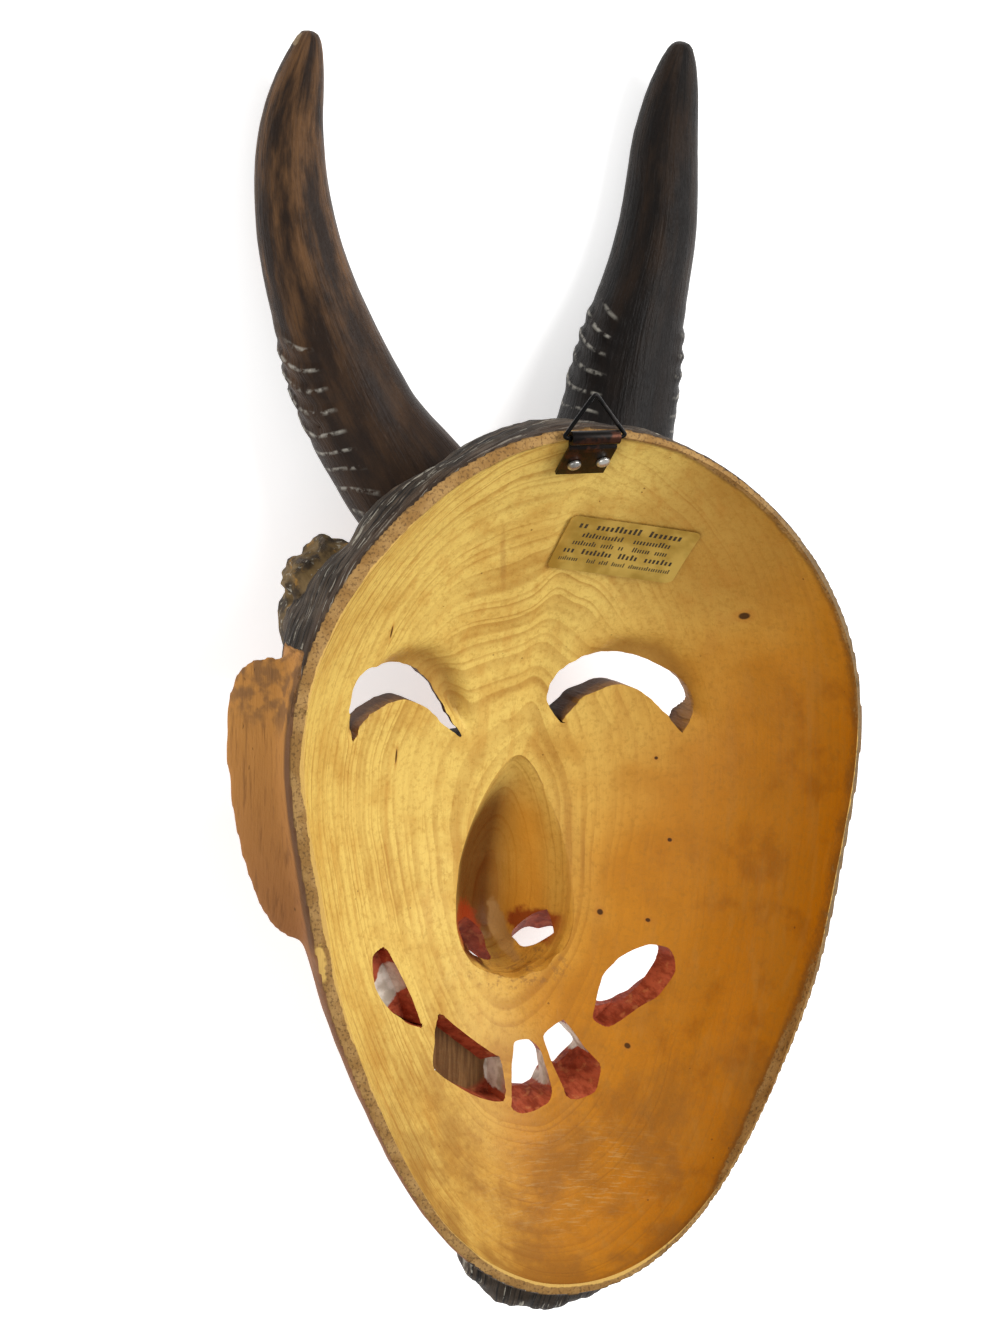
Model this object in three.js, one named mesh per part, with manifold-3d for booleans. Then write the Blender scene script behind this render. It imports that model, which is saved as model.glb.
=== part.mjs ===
// Horned carnival mask, carved in one piece of limewood, with a wire hanging ring nailed inside the top.
// It lies face down, as a loose mask is laid: the nose tip and the fronts of both horns touch the surface,
// and the hollow faces up. Lengths are millimetres. +X is the wearer's right, +Y runs to the horn tips and
// +Z points up, out of the hollow. The origin is on the surface, below the middle of the whole length.
// The pieces are shaped about the middle of the face and then moved as one group.

import * as THREE from 'three';
import { mergeGeometries, mergeVertices } from 'three/addons/utils/BufferGeometryUtils.js';
import Module from 'manifold-3d';

const wasm = await Module();
wasm.setup();

// Driving dimensions of the head
const FACE_TO_MIDDLE = 64.9;
const RIM_HEIGHT = 120;
const RIM_WIDTH = 6;
const FACE_DEPTH = 90;
const HOLLOW_DEPTH = 78;
const OUTLINE_MEAN = 133;
const OUTLINE_OVAL = 25.8;
const OUTLINE_EGG = 8.4;
const OUTLINE_TEMPLE = 6.5;
const OUTLINE_SQUARE = 2.9;
const OUTLINE_JAW = 1.6;
const HEAD_SEGMENTS = 84;
const HEAD_RINGS = 16;
const HOLLOW_SEGMENTS = 52;
const HOLLOW_RINGS = 12;

// Driving dimensions of the features
const EYE_MIDDLE = 46;
const EYE_HALF_WIDTH = 24.5;
const EYE_CORNER_Y = 41;
const EYE_TOP_Y = 70;
const EYE_BOTTOM_Y = 54;
const EYE_FLARE = 0.16;
const EYE_SILL_FLARE = 0.36;
const NOSE_TOP_Y = 54;
const NOSE_TIP_Y = -40;
const NOSE_RISE = 35;
const NOSE_MIDDLE_X = 2;
const NOSE_HOLLOW_X = 4.5;
const NOSE_HOLLOW_Y = -13.5;
const NOSE_HOLLOW_HALF_TALL = 42.5;
const NOSE_HOLLOW_TOP_Z = 44;
const NOSTRIL_RADIUS = 7;
const MOUTH_MIDDLE_Y = -93;
const MOUTH_HALF_WIDTH = 70;
const MOUTH_CURL = 52;
const MOUTH_HALF_OPEN = 12;
const TOOTH_PITCH = 14;
const HAIR_LOCKS = 24;
const HAIR_RISE = 3.2;
const HAIR_BODY = 3;
const BEARD_HALF_WIDE = 31;
const BEARD_HALF_DEEP = 23;
const BEARD_LENGTH = 74;
const EAR_MIDDLE_Y = 29;
const EAR_HALF_TALL = 53;
const EAR_HALF_WIDE = 23;
const EAR_HALF_THICK = 6.5;

// Driving dimensions of the hanger and the label
const STRAP_WIDTH = 19;
const STRAP_THICKNESS = 1.6;
const STRAP_MIDDLE_X = 1.5;
const STRAP_FOOT_Y = 147;
const FOLD_RADIUS = 2.6;
const WIRE_RADIUS = 0.8;
const RING_BASE = 23.5;
const RING_HEIGHT = 15.5;
const NAIL_HEAD_RADIUS = 2.6;
const NAIL_SHANK_RADIUS = 0.8;
const NAIL_LENGTH = 10;
const FIT_GAP = 0.3;
const LABEL_LENGTH = 49;
const LABEL_MIDDLE_X = 29;
const LABEL_MIDDLE_Y = 113;
const LABEL_WIDTH = 26;
const LABEL_THICKNESS = 0.5;

// Small helpers

// The same geometry with its shared vertices joined
function joined(geometry) {
  const bare = geometry.clone();
  bare.deleteAttribute('normal');
  bare.deleteAttribute('uv');
  return mergeVertices(bare, 1e-4);
}

// A closed geometry as a solid that can be joined and cut
function solidOf(geometry) {
  const merged = joined(geometry);
  const vertProperties = new Float32Array(merged.getAttribute('position').array);
  const triVerts = new Uint32Array(merged.getIndex().array);
  return new wasm.Manifold(new wasm.Mesh({ numProp: 3, vertProperties, triVerts }));
}

// A solid as a flat-shaded geometry
function geometryOf(solid) {
  const mesh = solid.getMesh();
  const geometry = new THREE.BufferGeometry();
  geometry.setAttribute('position', new THREE.BufferAttribute(mesh.vertProperties, 3));
  geometry.setIndex(new THREE.BufferAttribute(mesh.triVerts, 1));
  geometry.computeVertexNormals();
  return geometry;
}

// Moves every vertex of a geometry to the place that a function gives it
function bend(geometry, placeAt) {
  const bent = joined(geometry);
  const position = bent.getAttribute('position');
  const point = new THREE.Vector3();
  for (let i = 0; i < position.count; i += 1) {
    point.fromBufferAttribute(position, i);
    const placed = placeAt(point);
    position.setXYZ(i, placed.x, placed.y, placed.z);
  }
  return bent;
}

function smooth(from, to, value) {
  return THREE.MathUtils.smoothstep(value, from, to);
}

// A rounded hill, 1 at the middle and fading over the given half-width
function hill(distance, halfWidth) {
  return Math.exp(-((distance / halfWidth) ** 2));
}

// The head

// Distance from the head's middle to its outer edge at rim level, in the direction of an angle
function headRadius(angle) {
  return OUTLINE_MEAN
    + OUTLINE_EGG * Math.sin(angle)
    - OUTLINE_OVAL * Math.cos(2 * angle)
    + OUTLINE_TEMPLE * Math.sin(3 * angle)
    + OUTLINE_SQUARE * Math.cos(4 * angle)
    - OUTLINE_JAW * (Math.sin(5 * angle) + Math.cos(6 * angle));
}

// How the head's side curves from the rim to the front: fuller at the crown, slimmer at the jaw
function sideFullness(angle) {
  const rise = Math.sin(angle);
  return 1 - (rise > 0 ? 0.35 : 0.16) * rise * rise;
}

function sideTaper(angle) {
  return 1 + 0.22 * Math.max(0, -Math.sin(angle));
}

// The hollow's floor drops steeply at the temples and gently below the crown and the chin
function hollowTaper(angle) {
  const rise = Math.sin(angle);
  return 1.06 + (rise > 0 ? 0.74 : 0.36) * rise * rise;
}

// Height of the plain domed front, before any feature, over a point of the face
function frontHeight(x, y) {
  const angle = Math.atan2(y, x);
  const reach = Math.min(1, Math.hypot(x, y) / headRadius(angle));
  const across = reach ** (1 / sideFullness(angle));
  const drop = Math.sqrt(Math.max(0, 1 - across * across)) ** sideTaper(angle);
  return RIM_HEIGHT - FACE_DEPTH * drop;
}

// Shallow scoop along the upper edge of each eye, inside the hollow
function eyeScoop(x, y) {
  const side = (Math.abs(x) - EYE_MIDDLE) / 30;
  const arc = EYE_CORNER_Y + 30 * (1 - side * side);
  return 3 * hill(y - arc, 9) * (1 - smooth(0.7, 1, Math.abs(side)));
}

// Height of the hollow's floor over a point
function hollowHeight(x, y) {
  const angle = Math.atan2(y, x);
  const reach = Math.min(1, Math.hypot(x, y) / (headRadius(angle) - RIM_WIDTH));
  const drop = Math.sqrt(Math.max(0, 1 - reach * reach)) ** hollowTaper(angle);
  return RIM_HEIGHT - HOLLOW_DEPTH * drop - eyeScoop(x, y);
}

// Middle line of the grin and its half-opening
function mouthLine(x) {
  return MOUTH_MIDDLE_Y + MOUTH_CURL * (x / 60) ** 2;
}

function mouthHalfOpen(x) {
  return MOUTH_HALF_OPEN * Math.sqrt(Math.max(0.04, 1 - (x / MOUTH_HALF_WIDTH) ** 2));
}

function mouthOffset(x, y) {
  const slope = MOUTH_CURL * 2 * x / 3600;
  return (y - mouthLine(x)) / Math.hypot(1, slope);
}

// How far a feature stands out of the domed front
function browRise(x, y) {
  const side = Math.abs(x);
  const line = 44 + 44 * Math.sqrt(Math.max(0, side - 6) / 88);
  const ends = smooth(4, 18, side) * (1 - smooth(84, 104, side));
  const tufts = 1 + 0.32 * Math.sin(side * 0.52 + y * 0.22);
  return 12 * ends * tufts * hill(y - line, 10);
}

function eyeRise(x, y) {
  const side = Math.abs(x) - EYE_MIDDLE;
  const ring = Math.hypot(side / 28, (y - 58) / 14);
  const socket = -5 * hill(ring, 0.9);
  const bag = 4 * hill(y - 40 - 0.006 * side * side, 5) * hill(side, 26);
  return socket + bag;
}

function cheekRise(x, y) {
  return 14 * hill(Math.abs(x) - 57, 25) * hill(y + 6, 27);
}

function noseRise(x, y) {
  const down = (NOSE_TOP_Y - y) / (NOSE_TOP_Y - NOSE_TIP_Y);
  const width = 9 + 7 * smooth(0, 1, down);
  const ridge = 5 * smooth(0, 0.25, down) + (NOSE_RISE - 5) * smooth(0.1, 1, down);
  const side = Math.abs(x - NOSE_MIDDLE_X);
  const blade = ridge * hill(side, width) * (1 - smooth(-NOSE_TIP_Y + 5, -NOSE_TIP_Y + 18, -y));
  const wings = 15 * hill(side - 18, 8.5) * hill(y + 45, 11);
  return Math.max(blade, wings);
}

function mouthRise(x, y) {
  const open = mouthHalfOpen(x);
  const offset = Math.abs(mouthOffset(x, y));
  const ends = 1 - smooth(MOUTH_HALF_WIDTH, MOUTH_HALF_WIDTH + 8, Math.abs(x));
  const cavity = -3.5 * (1 - smooth(open - 3, open + 2, offset));
  const lip = 6 * hill(offset - open - 6, 5);
  return ends * (cavity + lip + toothRise(x, y));
}

// Two staggered rows of pegs that fill the grin
function toothRise(x, y) {
  const offset = mouthOffset(x, y);
  const shift = offset > 0 ? 0 : 0.5;
  const along = x * (1 + 0.006 * Math.abs(x)) / TOOTH_PITCH;
  const peg = Math.sqrt(Math.abs(Math.sin(Math.PI * (along + shift))));
  const edge = mouthHalfOpen(x);
  const row = smooth(0, 3, Math.abs(offset)) * (1 - smooth(edge - 1, edge + 2, Math.abs(offset)));
  return 5 * peg * row;
}

function chinRise(x, y) {
  return 15 * hill(x, 30) * hill(y + 134, 17);
}

function foreheadRise(x, y) {
  const patch = hill(x, 44) * smooth(84, 96, y) * (1 - smooth(124, 134, y));
  return 2.2 * patch * Math.sin((y - 0.004 * x * x) * 0.56);
}

// Where hair covers the head: outside the face, above the ears
function hairCover(x, y) {
  const face = Math.hypot(x / 90, (y - 16) / 112);
  return smooth(0.98, 1.08, face) * smooth(58, 78, y);
}

function hairRise(x, y, angle, turn) {
  const sweep = angle + 0.09 * Math.sin(2.4 * turn + 5 * angle);
  const lock = Math.abs(Math.sin(sweep * HAIR_LOCKS / 2));
  return hairCover(x, y) * (HAIR_BODY + HAIR_RISE * (lock - 0.35));
}

function faceRelief(x, y) {
  return browRise(x, y) + eyeRise(x, y) + cheekRise(x, y) + noseRise(x, y)
    + mouthRise(x, y) + chinRise(x, y) + foreheadRise(x, y);
}

// A half ball closed by a disc, its pole down, as the start of the head and of the hollow
function halfBall(segments, rings) {
  const bowl = new THREE.SphereGeometry(1, segments, rings, 0, 2 * Math.PI, Math.PI / 2, Math.PI / 2);
  bowl.rotateX(Math.PI / 2);
  const lid = new THREE.CircleGeometry(1, segments);
  return mergeGeometries([bowl, lid]);
}

function headGeometry() {
  return bend(halfBall(HEAD_SEGMENTS, HEAD_RINGS), (unit) => {
    const angle = Math.atan2(unit.y, unit.x);
    const across = Math.min(1, Math.hypot(unit.x, unit.y));
    const radius = headRadius(angle);
    if (unit.z > -1e-6) {
      const flat = across * radius;
      return new THREE.Vector3(flat * Math.cos(angle), flat * Math.sin(angle), RIM_HEIGHT);
    }
    const drop = Math.max(0, -unit.z);
    const reach = radius * across ** sideFullness(angle);
    const x = reach * Math.cos(angle);
    const y = reach * Math.sin(angle);
    const z = RIM_HEIGHT - FACE_DEPTH * drop ** sideTaper(angle);
    const away = new THREE.Vector3(unit.x / radius, unit.y / radius, unit.z / FACE_DEPTH).normalize();
    const fade = smooth(0.02, 0.3, drop);
    const rise = fade * (faceRelief(x, y) + hairRise(x, y, angle, Math.acos(across)));
    return new THREE.Vector3(x, y, z).addScaledVector(away, rise);
  });
}

function hollowGeometry() {
  return bend(halfBall(HOLLOW_SEGMENTS, HOLLOW_RINGS), (unit) => {
    const angle = Math.atan2(unit.y, unit.x);
    const across = Math.min(1, Math.hypot(unit.x, unit.y));
    const radius = (headRadius(angle) - RIM_WIDTH) * across;
    const x = radius * Math.cos(angle);
    const y = radius * Math.sin(angle);
    if (unit.z > -1e-6) {
      const lift = across > 0.999 ? 0 : 5;
      return new THREE.Vector3(x, y, RIM_HEIGHT + lift);
    }
    return new THREE.Vector3(x, y, hollowHeight(x, y));
  });
}

// Horns

// Middle line of each horn, from its root in the forehead to its tip
const LEFT_HORN_LINE = [
  [-27, 108, 46], [-47, 148, 29], [-62.5, 183, 21], [-75, 226, 15], [-77.5, 264, 13.4], [-72, 303, 19],
];
const RIGHT_HORN_LINE = [
  [42, 106, 46], [50, 148, 29], [59.5, 183, 21], [72, 226, 15], [76, 264, 13.4], [79.5, 299, 19],
];
const HORN_ROOT_RADIUS = 21;
const HORN_TAPER = 6.5;
const HORN_TIP_RADIUS = 2.5;
const HORN_RIDGES = 13;
const HORN_RIDGE_RISE = 1.8;

// Radius along a horn: stout at the root, then slender, and drawn to a blunt tip
function hornRadius(along) {
  const body = HORN_ROOT_RADIUS - HORN_TAPER * smooth(0.2, 0.72, along);
  const tip = Math.max(0, 1 - Math.max(0, (along - 0.6) / 0.4) ** 1.9) ** 0.62;
  return HORN_TIP_RADIUS + (body - HORN_TIP_RADIUS) * tip;
}

function hornGeometry(line) {
  const curve = new THREE.CatmullRomCurve3(line.map((point) => new THREE.Vector3(...point)));
  const up = new THREE.Vector3(0, 0, 1);
  const column = new THREE.CylinderGeometry(1, 1, 1, 12, 25);
  return bend(column, (unit) => {
    const along = unit.y + 0.5;
    const centre = curve.getPoint(along);
    const tangent = curve.getTangent(along).normalize();
    const aside = new THREE.Vector3().crossVectors(tangent, up).normalize();
    const back = new THREE.Vector3().crossVectors(aside, tangent).normalize();
    const angle = Math.atan2(unit.z, unit.x);
    const front = smooth(-0.6, 0.3, -Math.sin(angle));
    const ridges = HORN_RIDGE_RISE * front * (1 - smooth(0.4, 0.52, along))
      * Math.abs(Math.sin(Math.PI * HORN_RIDGES * along));
    const radius = Math.hypot(unit.x, unit.z) * (hornRadius(along) + ridges);
    return centre.clone()
      .addScaledVector(aside, radius * Math.cos(angle))
      .addScaledVector(back, radius * Math.sin(angle));
  });
}

// Ears: a slanting leaf of wood whose flat back continues from the rim, hollowed on its front
function earGeometry(side) {
  const slant = Math.atan2(30, 25);
  return bend(new THREE.SphereGeometry(1, 16, 12), (unit) => {
    const tall = unit.y;
    const wide = EAR_HALF_WIDE * (0.8 + 0.28 * smooth(-1, 0.6, tall));
    const out = Math.sign(unit.x) * Math.abs(unit.x) ** 0.72 * wide;
    const hollow = 4.5 * smooth(0.1, 0.7, -unit.z) * hill(unit.x - 0.15, 0.5) * hill(tall - 0.1, 0.5);
    const thick = unit.z > 0 ? 0.45 * unit.z : unit.z;
    const depth = EAR_HALF_THICK * thick + hollow;
    const x = 110 + out * Math.cos(slant) + depth * Math.sin(slant) + 4.5 * tall;
    const z = RIM_HEIGHT - 20 - out * Math.sin(slant) + depth * Math.cos(slant);
    const squared = Math.sign(tall) * Math.abs(tall) ** 0.86;
    return new THREE.Vector3(side * x, EAR_MIDDLE_Y + EAR_HALF_TALL * squared, z);
  });
}

// Tufts: knobbly ends of the brows at the temples, each a short run of lumps
const TUFT_LUMPS = [[-82, 111, 72, 9], [-89, 102, 74, 11], [-91, 88, 75, 11]];

function lumpGeometry(x, y, z, radius) {
  const lump = new THREE.SphereGeometry(1, 10, 6);
  return bend(lump, (unit) => {
    const knob = 1 + 0.12 * Math.sin(5 * unit.x + 4 * unit.y + 2);
    return new THREE.Vector3(
      x + radius * 0.9 * knob * unit.x,
      y + radius * knob * unit.y,
      z + radius * 1.5 * knob * unit.z,
    );
  });
}

// Chin beard: one broad tuft, combed into locks
function beardGeometry() {
  return bend(new THREE.SphereGeometry(1, 20, 10), (unit) => {
    const angle = Math.atan2(unit.y, unit.x);
    const forward = Math.max(0, -unit.z);
    const slim = 1 - 0.55 * forward * forward;
    const lock = slim * (1 + 0.07 * Math.abs(Math.sin(5 * angle)) * Math.hypot(unit.x, unit.y));
    return new THREE.Vector3(
      -3 + 5 * forward + BEARD_HALF_WIDE * lock * unit.x,
      -149 + BEARD_HALF_DEEP * lock * unit.y + 2 * forward,
      RIM_HEIGHT - 22 + (unit.z > 0 ? 19 : BEARD_LENGTH) * unit.z,
    );
  });
}

// Openings

// A prism that stands along Z, from a closed outline
function prism(shape, bottom, top) {
  const geometry = new THREE.ExtrudeGeometry(shape, {
    depth: top - bottom,
    bevelEnabled: false,
    curveSegments: 5,
  });
  geometry.translate(0, 0, bottom);
  return geometry;
}

// Laughing eye: a blunt-ended crescent between a high and a low arc, flaring towards the front
function eyeGeometry(side) {
  const inner = side * (EYE_MIDDLE - EYE_HALF_WIDTH);
  const outer = side * (EYE_MIDDLE + EYE_HALF_WIDTH);
  const middle = side * EYE_MIDDLE;
  const shape = new THREE.Shape();
  shape.moveTo(inner, EYE_CORNER_Y);
  shape.lineTo(inner - side * 0.5, EYE_CORNER_Y + 8);
  shape.bezierCurveTo(
    inner + side * 2, EYE_TOP_Y - 9,
    middle - side * 12, EYE_TOP_Y,
    middle + side * 3, EYE_TOP_Y,
  );
  shape.bezierCurveTo(middle + side * 16, EYE_TOP_Y, outer, EYE_TOP_Y - 6, outer, EYE_CORNER_Y + 12);
  shape.lineTo(outer - side, EYE_CORNER_Y + 2);
  shape.quadraticCurveTo(middle, 2 * EYE_BOTTOM_Y - EYE_CORNER_Y, inner, EYE_CORNER_Y);
  return bend(prism(shape, -5, RIM_HEIGHT - 30), (point) => {
    const front = point.z < 0 ? 1 : 0;
    return new THREE.Vector3(
      middle + (point.x - middle) * (1 + EYE_FLARE * front),
      EYE_TOP_Y + (point.y - EYE_TOP_Y) * (1 + EYE_SILL_FLARE * front),
      point.z,
    );
  });
}

// Outlines of the mouth's slots, as seen from the hollow
const MOUTH_SLOTS = [
  [[-60, -41], [-54, -37.5], [-49, -44], [-42.5, -60], [-40, -69], [-47, -68], [-55.5, -60.5], [-61, -47]],
  [[-30, -65], [-6, -81.5], [-4.5, -90], [-6, -102.5], [-13, -101], [-24, -95], [-33, -86.5], [-31.5, -75]],
  [[3, -82], [10, -82], [14, -86.5], [17, -98], [12, -105.5], [4, -107], [0.5, -98], [0.5, -88]],
  [[22.5, -73], [26.5, -76.5], [30.5, -84], [37, -91], [33.5, -98], [28, -102.5], [21, -97], [13.5, -79.5]],
  [[34, -60.5], [39, -51.5], [48, -45], [57, -43.5], [63.5, -50], [59.5, -61], [48, -72], [35.5, -77]],
];
const SLOT_FLOOR = 6;

// Gaps between the teeth, as [middle x, middle y, half length, half width, turn in degrees]
const TOOTH_GAPS = [
  [9.5, -91.5, 9, 7, 96],
  [22, -83, 10, 6.5, -50],
  [49.5, -58.5, 15.5, 8, 42],
];

function slotGeometry(corners) {
  const curve = new THREE.CatmullRomCurve3(
    corners.map(([x, y]) => new THREE.Vector3(x, y, 0)),
    true,
    'catmullrom',
    0.35,
  );
  const outline = curve.getPoints(2 * corners.length).slice(0, -1);
  const middleX = outline.reduce((sum, point) => sum + point.x, 0) / outline.length;
  const middleY = outline.reduce((sum, point) => sum + point.y, 0) / outline.length;
  const shape = new THREE.Shape(outline.map((point) => new THREE.Vector2(point.x, point.y)));
  return prism(shape, frontHeight(middleX, middleY) + SLOT_FLOOR, RIM_HEIGHT - 20);
}

function gapGeometry([x, y, halfLength, halfWidth, turn]) {
  const shape = new THREE.Shape();
  shape.absellipse(x, y, halfLength, halfWidth, 0, 2 * Math.PI, false, turn * Math.PI / 180);
  return prism(shape, 10, frontHeight(x, y) + SLOT_FLOOR + 5);
}

// Deep trough behind the nose: narrow and shallow at the bridge, wide and deep at the nostrils
function noseHollowGeometry() {
  return bend(new THREE.SphereGeometry(1, 18, 12), (unit) => {
    const along = Math.sign(unit.y) * Math.abs(unit.y) ** (unit.y < 0 ? 0.8 : 1);
    const halfWidth = 23 - 9 * unit.y;
    const round = Math.max(0.02, Math.sqrt(1 - Math.min(1, unit.y * unit.y)));
    const steep = (26 - 14 * unit.y) * round * (Math.abs(unit.z) / round) ** 2.3;
    const lift = unit.z > 0 ? 14 * unit.z : -steep;
    return new THREE.Vector3(
      NOSE_HOLLOW_X + 1.5 * unit.y + halfWidth * unit.x,
      NOSE_HOLLOW_Y + NOSE_HOLLOW_HALF_TALL * along,
      NOSE_HOLLOW_TOP_Z + lift,
    );
  });
}

// Nostril: a bore that slants outwards and down to the underside of the nose
function nostrilGeometry(side) {
  const bore = new THREE.CylinderGeometry(NOSTRIL_RADIUS + 0.5, NOSTRIL_RADIUS, 36, 12);
  const direction = new THREE.Vector3(side * 0.22, -0.6, -0.77).normalize();
  const turn = new THREE.Quaternion().setFromUnitVectors(new THREE.Vector3(0, -1, 0), direction);
  bore.applyQuaternion(turn);
  bore.translate(NOSE_HOLLOW_X + side * 10.5 + 14 * direction.x, -45 + 14 * direction.y, 28 + 14 * direction.z);
  return bore;
}

// Hanger

// The slope of wood below the rim that the strap is nailed to
const STRAP_HEAD_Y = headRadius(Math.PI / 2) - RIM_WIDTH;
const SLOPE = new THREE.Vector2(
  STRAP_HEAD_Y - STRAP_FOOT_Y,
  RIM_HEIGHT - hollowHeight(STRAP_MIDDLE_X, STRAP_FOOT_Y),
);
const SLOPE_UNIT = SLOPE.clone().normalize();
const SLOPE_OUT = new THREE.Vector2(-SLOPE_UNIT.y, SLOPE_UNIT.x);
const FOLD_Y = STRAP_HEAD_Y + 2.4;
const FOLD_Z = RIM_HEIGHT + FIT_GAP + FOLD_RADIUS;

// Side view of the strap: a flat leg down the slope and a fold round the ring's wire
function strapGeometry() {
  const foot = new THREE.Vector2(STRAP_FOOT_Y, RIM_HEIGHT - SLOPE.y).addScaledVector(SLOPE_OUT, 0.9);
  const head = new THREE.Vector2(STRAP_HEAD_Y, RIM_HEIGHT).addScaledVector(SLOPE_OUT, 0.9);
  const leg = new THREE.Shape();
  leg.moveTo(foot.x, foot.y);
  leg.lineTo(head.x, head.y);
  leg.lineTo(FOLD_Y, RIM_HEIGHT + FIT_GAP + 0.05);
  leg.lineTo(FOLD_Y - 0.4, FOLD_Z + FOLD_RADIUS - 0.3);
  leg.lineTo(head.x + SLOPE_OUT.x * STRAP_THICKNESS, head.y + SLOPE_OUT.y * STRAP_THICKNESS);
  leg.lineTo(foot.x + SLOPE_OUT.x * STRAP_THICKNESS, foot.y + SLOPE_OUT.y * STRAP_THICKNESS);
  leg.closePath();
  const fold = new THREE.Shape();
  fold.absarc(FOLD_Y, FOLD_Z, FOLD_RADIUS, 0, 2 * Math.PI, false);
  const tunnel = new THREE.Shape();
  tunnel.absarc(FOLD_Y, FOLD_Z, WIRE_RADIUS + 0.4, 0, 2 * Math.PI, false);
  const across = (shape, margin) => {
    const geometry = new THREE.ExtrudeGeometry(shape, {
      depth: STRAP_WIDTH + 2 * margin,
      bevelEnabled: false,
      curveSegments: 8,
    });
    geometry.translate(0, 0, -STRAP_WIDTH / 2 - margin);
    geometry.rotateY(Math.PI / 2);
    geometry.rotateX(Math.PI / 2);
    geometry.translate(STRAP_MIDDLE_X, 0, 0);
    return geometry;
  };
  return solidOf(across(leg, 0)).add(solidOf(across(fold, 0))).subtract(solidOf(across(tunnel, 1)));
}

// Ring: one closed triangle of wire, its base inside the fold
function ringGeometry() {
  const half = RING_BASE / 2;
  const corners = [
    [-half + 1.5, 0], [0, 0], [half - 1.5, 0], [half, 0.9], [half - 1.2, 2.6],
    [1.4, RING_HEIGHT - 1.2], [0, RING_HEIGHT], [-1.4, RING_HEIGHT - 1.2], [-half + 1.2, 2.6], [-half, 0.9],
  ];
  const points = corners.map(([x, y]) => new THREE.Vector3(STRAP_MIDDLE_X + x, FOLD_Y + y, FOLD_Z));
  const path = new THREE.CatmullRomCurve3(points, true, 'catmullrom', 0.3);
  const section = new THREE.Shape();
  section.absarc(0, 0, WIRE_RADIUS, 0, 2 * Math.PI, false);
  return new THREE.ExtrudeGeometry(section, {
    steps: 30,
    curveSegments: 3,
    bevelEnabled: false,
    extrudePath: path,
  });
}

// Nail: a round-headed steel nail, built along Y with the underside of its head at the origin
const NAIL_PLACES = { nail_left: [-3, 0.42], nail_right: [8, 0.5] };

function nailGeometry(extra) {
  const points = [
    new THREE.Vector2(0, -NAIL_LENGTH - extra),
    new THREE.Vector2(NAIL_SHANK_RADIUS + extra, -NAIL_LENGTH + 2 - extra),
    new THREE.Vector2(NAIL_SHANK_RADIUS + extra, 0),
    new THREE.Vector2(NAIL_HEAD_RADIUS, 0),
    new THREE.Vector2(NAIL_HEAD_RADIUS * 0.86, 0.9),
    new THREE.Vector2(NAIL_HEAD_RADIUS * 0.5, 1.5),
    new THREE.Vector2(0, 1.7),
  ];
  return new THREE.LatheGeometry(points, 12);
}

// Puts a nail on the strap, at an x and at a share of the way up the slope, square to the slope
function driveNail(geometry, [x, share]) {
  const away = 0.9 + STRAP_THICKNESS + FIT_GAP;
  const y = STRAP_FOOT_Y + SLOPE.x * share + SLOPE_OUT.x * away;
  const z = RIM_HEIGHT - SLOPE.y * (1 - share) + SLOPE_OUT.y * away;
  geometry.rotateX(Math.atan2(SLOPE_OUT.y, SLOPE_OUT.x));
  geometry.translate(x, y, z);
  return geometry;
}

// Label: a thin foil rectangle that follows the hollow
function labelGeometry() {
  const turn = -10.5 * Math.PI / 180;
  const sheet = new THREE.BoxGeometry(LABEL_LENGTH, LABEL_WIDTH, 1, 8, 4, 1);
  return bend(sheet, (flat) => {
    const x = LABEL_MIDDLE_X + flat.x * Math.cos(turn) - flat.y * Math.sin(turn);
    const y = LABEL_MIDDLE_Y + (flat.x * Math.sin(turn) + flat.y * Math.cos(turn)) * 0.83;
    const lift = FIT_GAP + 0.9 + (flat.z > 0 ? LABEL_THICKNESS : 0);
    return new THREE.Vector3(x, y, hollowHeight(x, y) + lift);
  });
}

// Assembly

function carveMask() {
  let wood = solidOf(headGeometry());
  for (const side of [-1, 1]) {
    wood = wood.add(solidOf(side > 0 ? earGeometry(1) : mirrored(earGeometry(-1))));
    for (const [x, y, z, radius] of TUFT_LUMPS) {
      wood = wood.add(solidOf(lumpGeometry(side < 0 ? x : -x, y, z, radius)));
    }
  }
  wood = wood.add(solidOf(beardGeometry()));
  for (const line of [LEFT_HORN_LINE, RIGHT_HORN_LINE]) {
    wood = wood.add(solidOf(hornGeometry(line)));
  }
  wood = wood.subtract(solidOf(hollowGeometry()));
  wood = wood.subtract(solidOf(noseHollowGeometry()));
  for (const side of [-1, 1]) {
    wood = wood.subtract(solidOf(eyeGeometry(side)));
    wood = wood.subtract(solidOf(nostrilGeometry(side)));
  }
  for (const corners of MOUTH_SLOTS) {
    wood = wood.subtract(solidOf(slotGeometry(corners)));
  }
  for (const gap of TOOTH_GAPS) {
    wood = wood.subtract(solidOf(gapGeometry(gap)));
  }
  for (const place of Object.values(NAIL_PLACES)) {
    wood = wood.subtract(solidOf(driveNail(nailGeometry(0.35), place)));
  }
  return wood.subtract(solidOf(restingPlaneGeometry()));
}

// Everything below the surface that the mask lies on: it leaves the small flats on the nose and the horns
function restingPlaneGeometry() {
  const block = new THREE.BoxGeometry(400, 600, 20);
  block.translate(0, 60, -10);
  return block;
}

// A mirrored copy's faces must be turned round to point outwards again
function mirrored(geometry) {
  const index = geometry.getIndex();
  for (let i = 0; i < index.count; i += 3) {
    const first = index.getX(i);
    index.setX(i, index.getX(i + 1));
    index.setX(i + 1, first);
  }
  return geometry;
}

function addPiece(group, name, geometry, look) {
  const piece = new THREE.Mesh(geometry, new THREE.MeshStandardMaterial(look));
  piece.name = name;
  group.add(piece);
  return piece;
}

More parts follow.
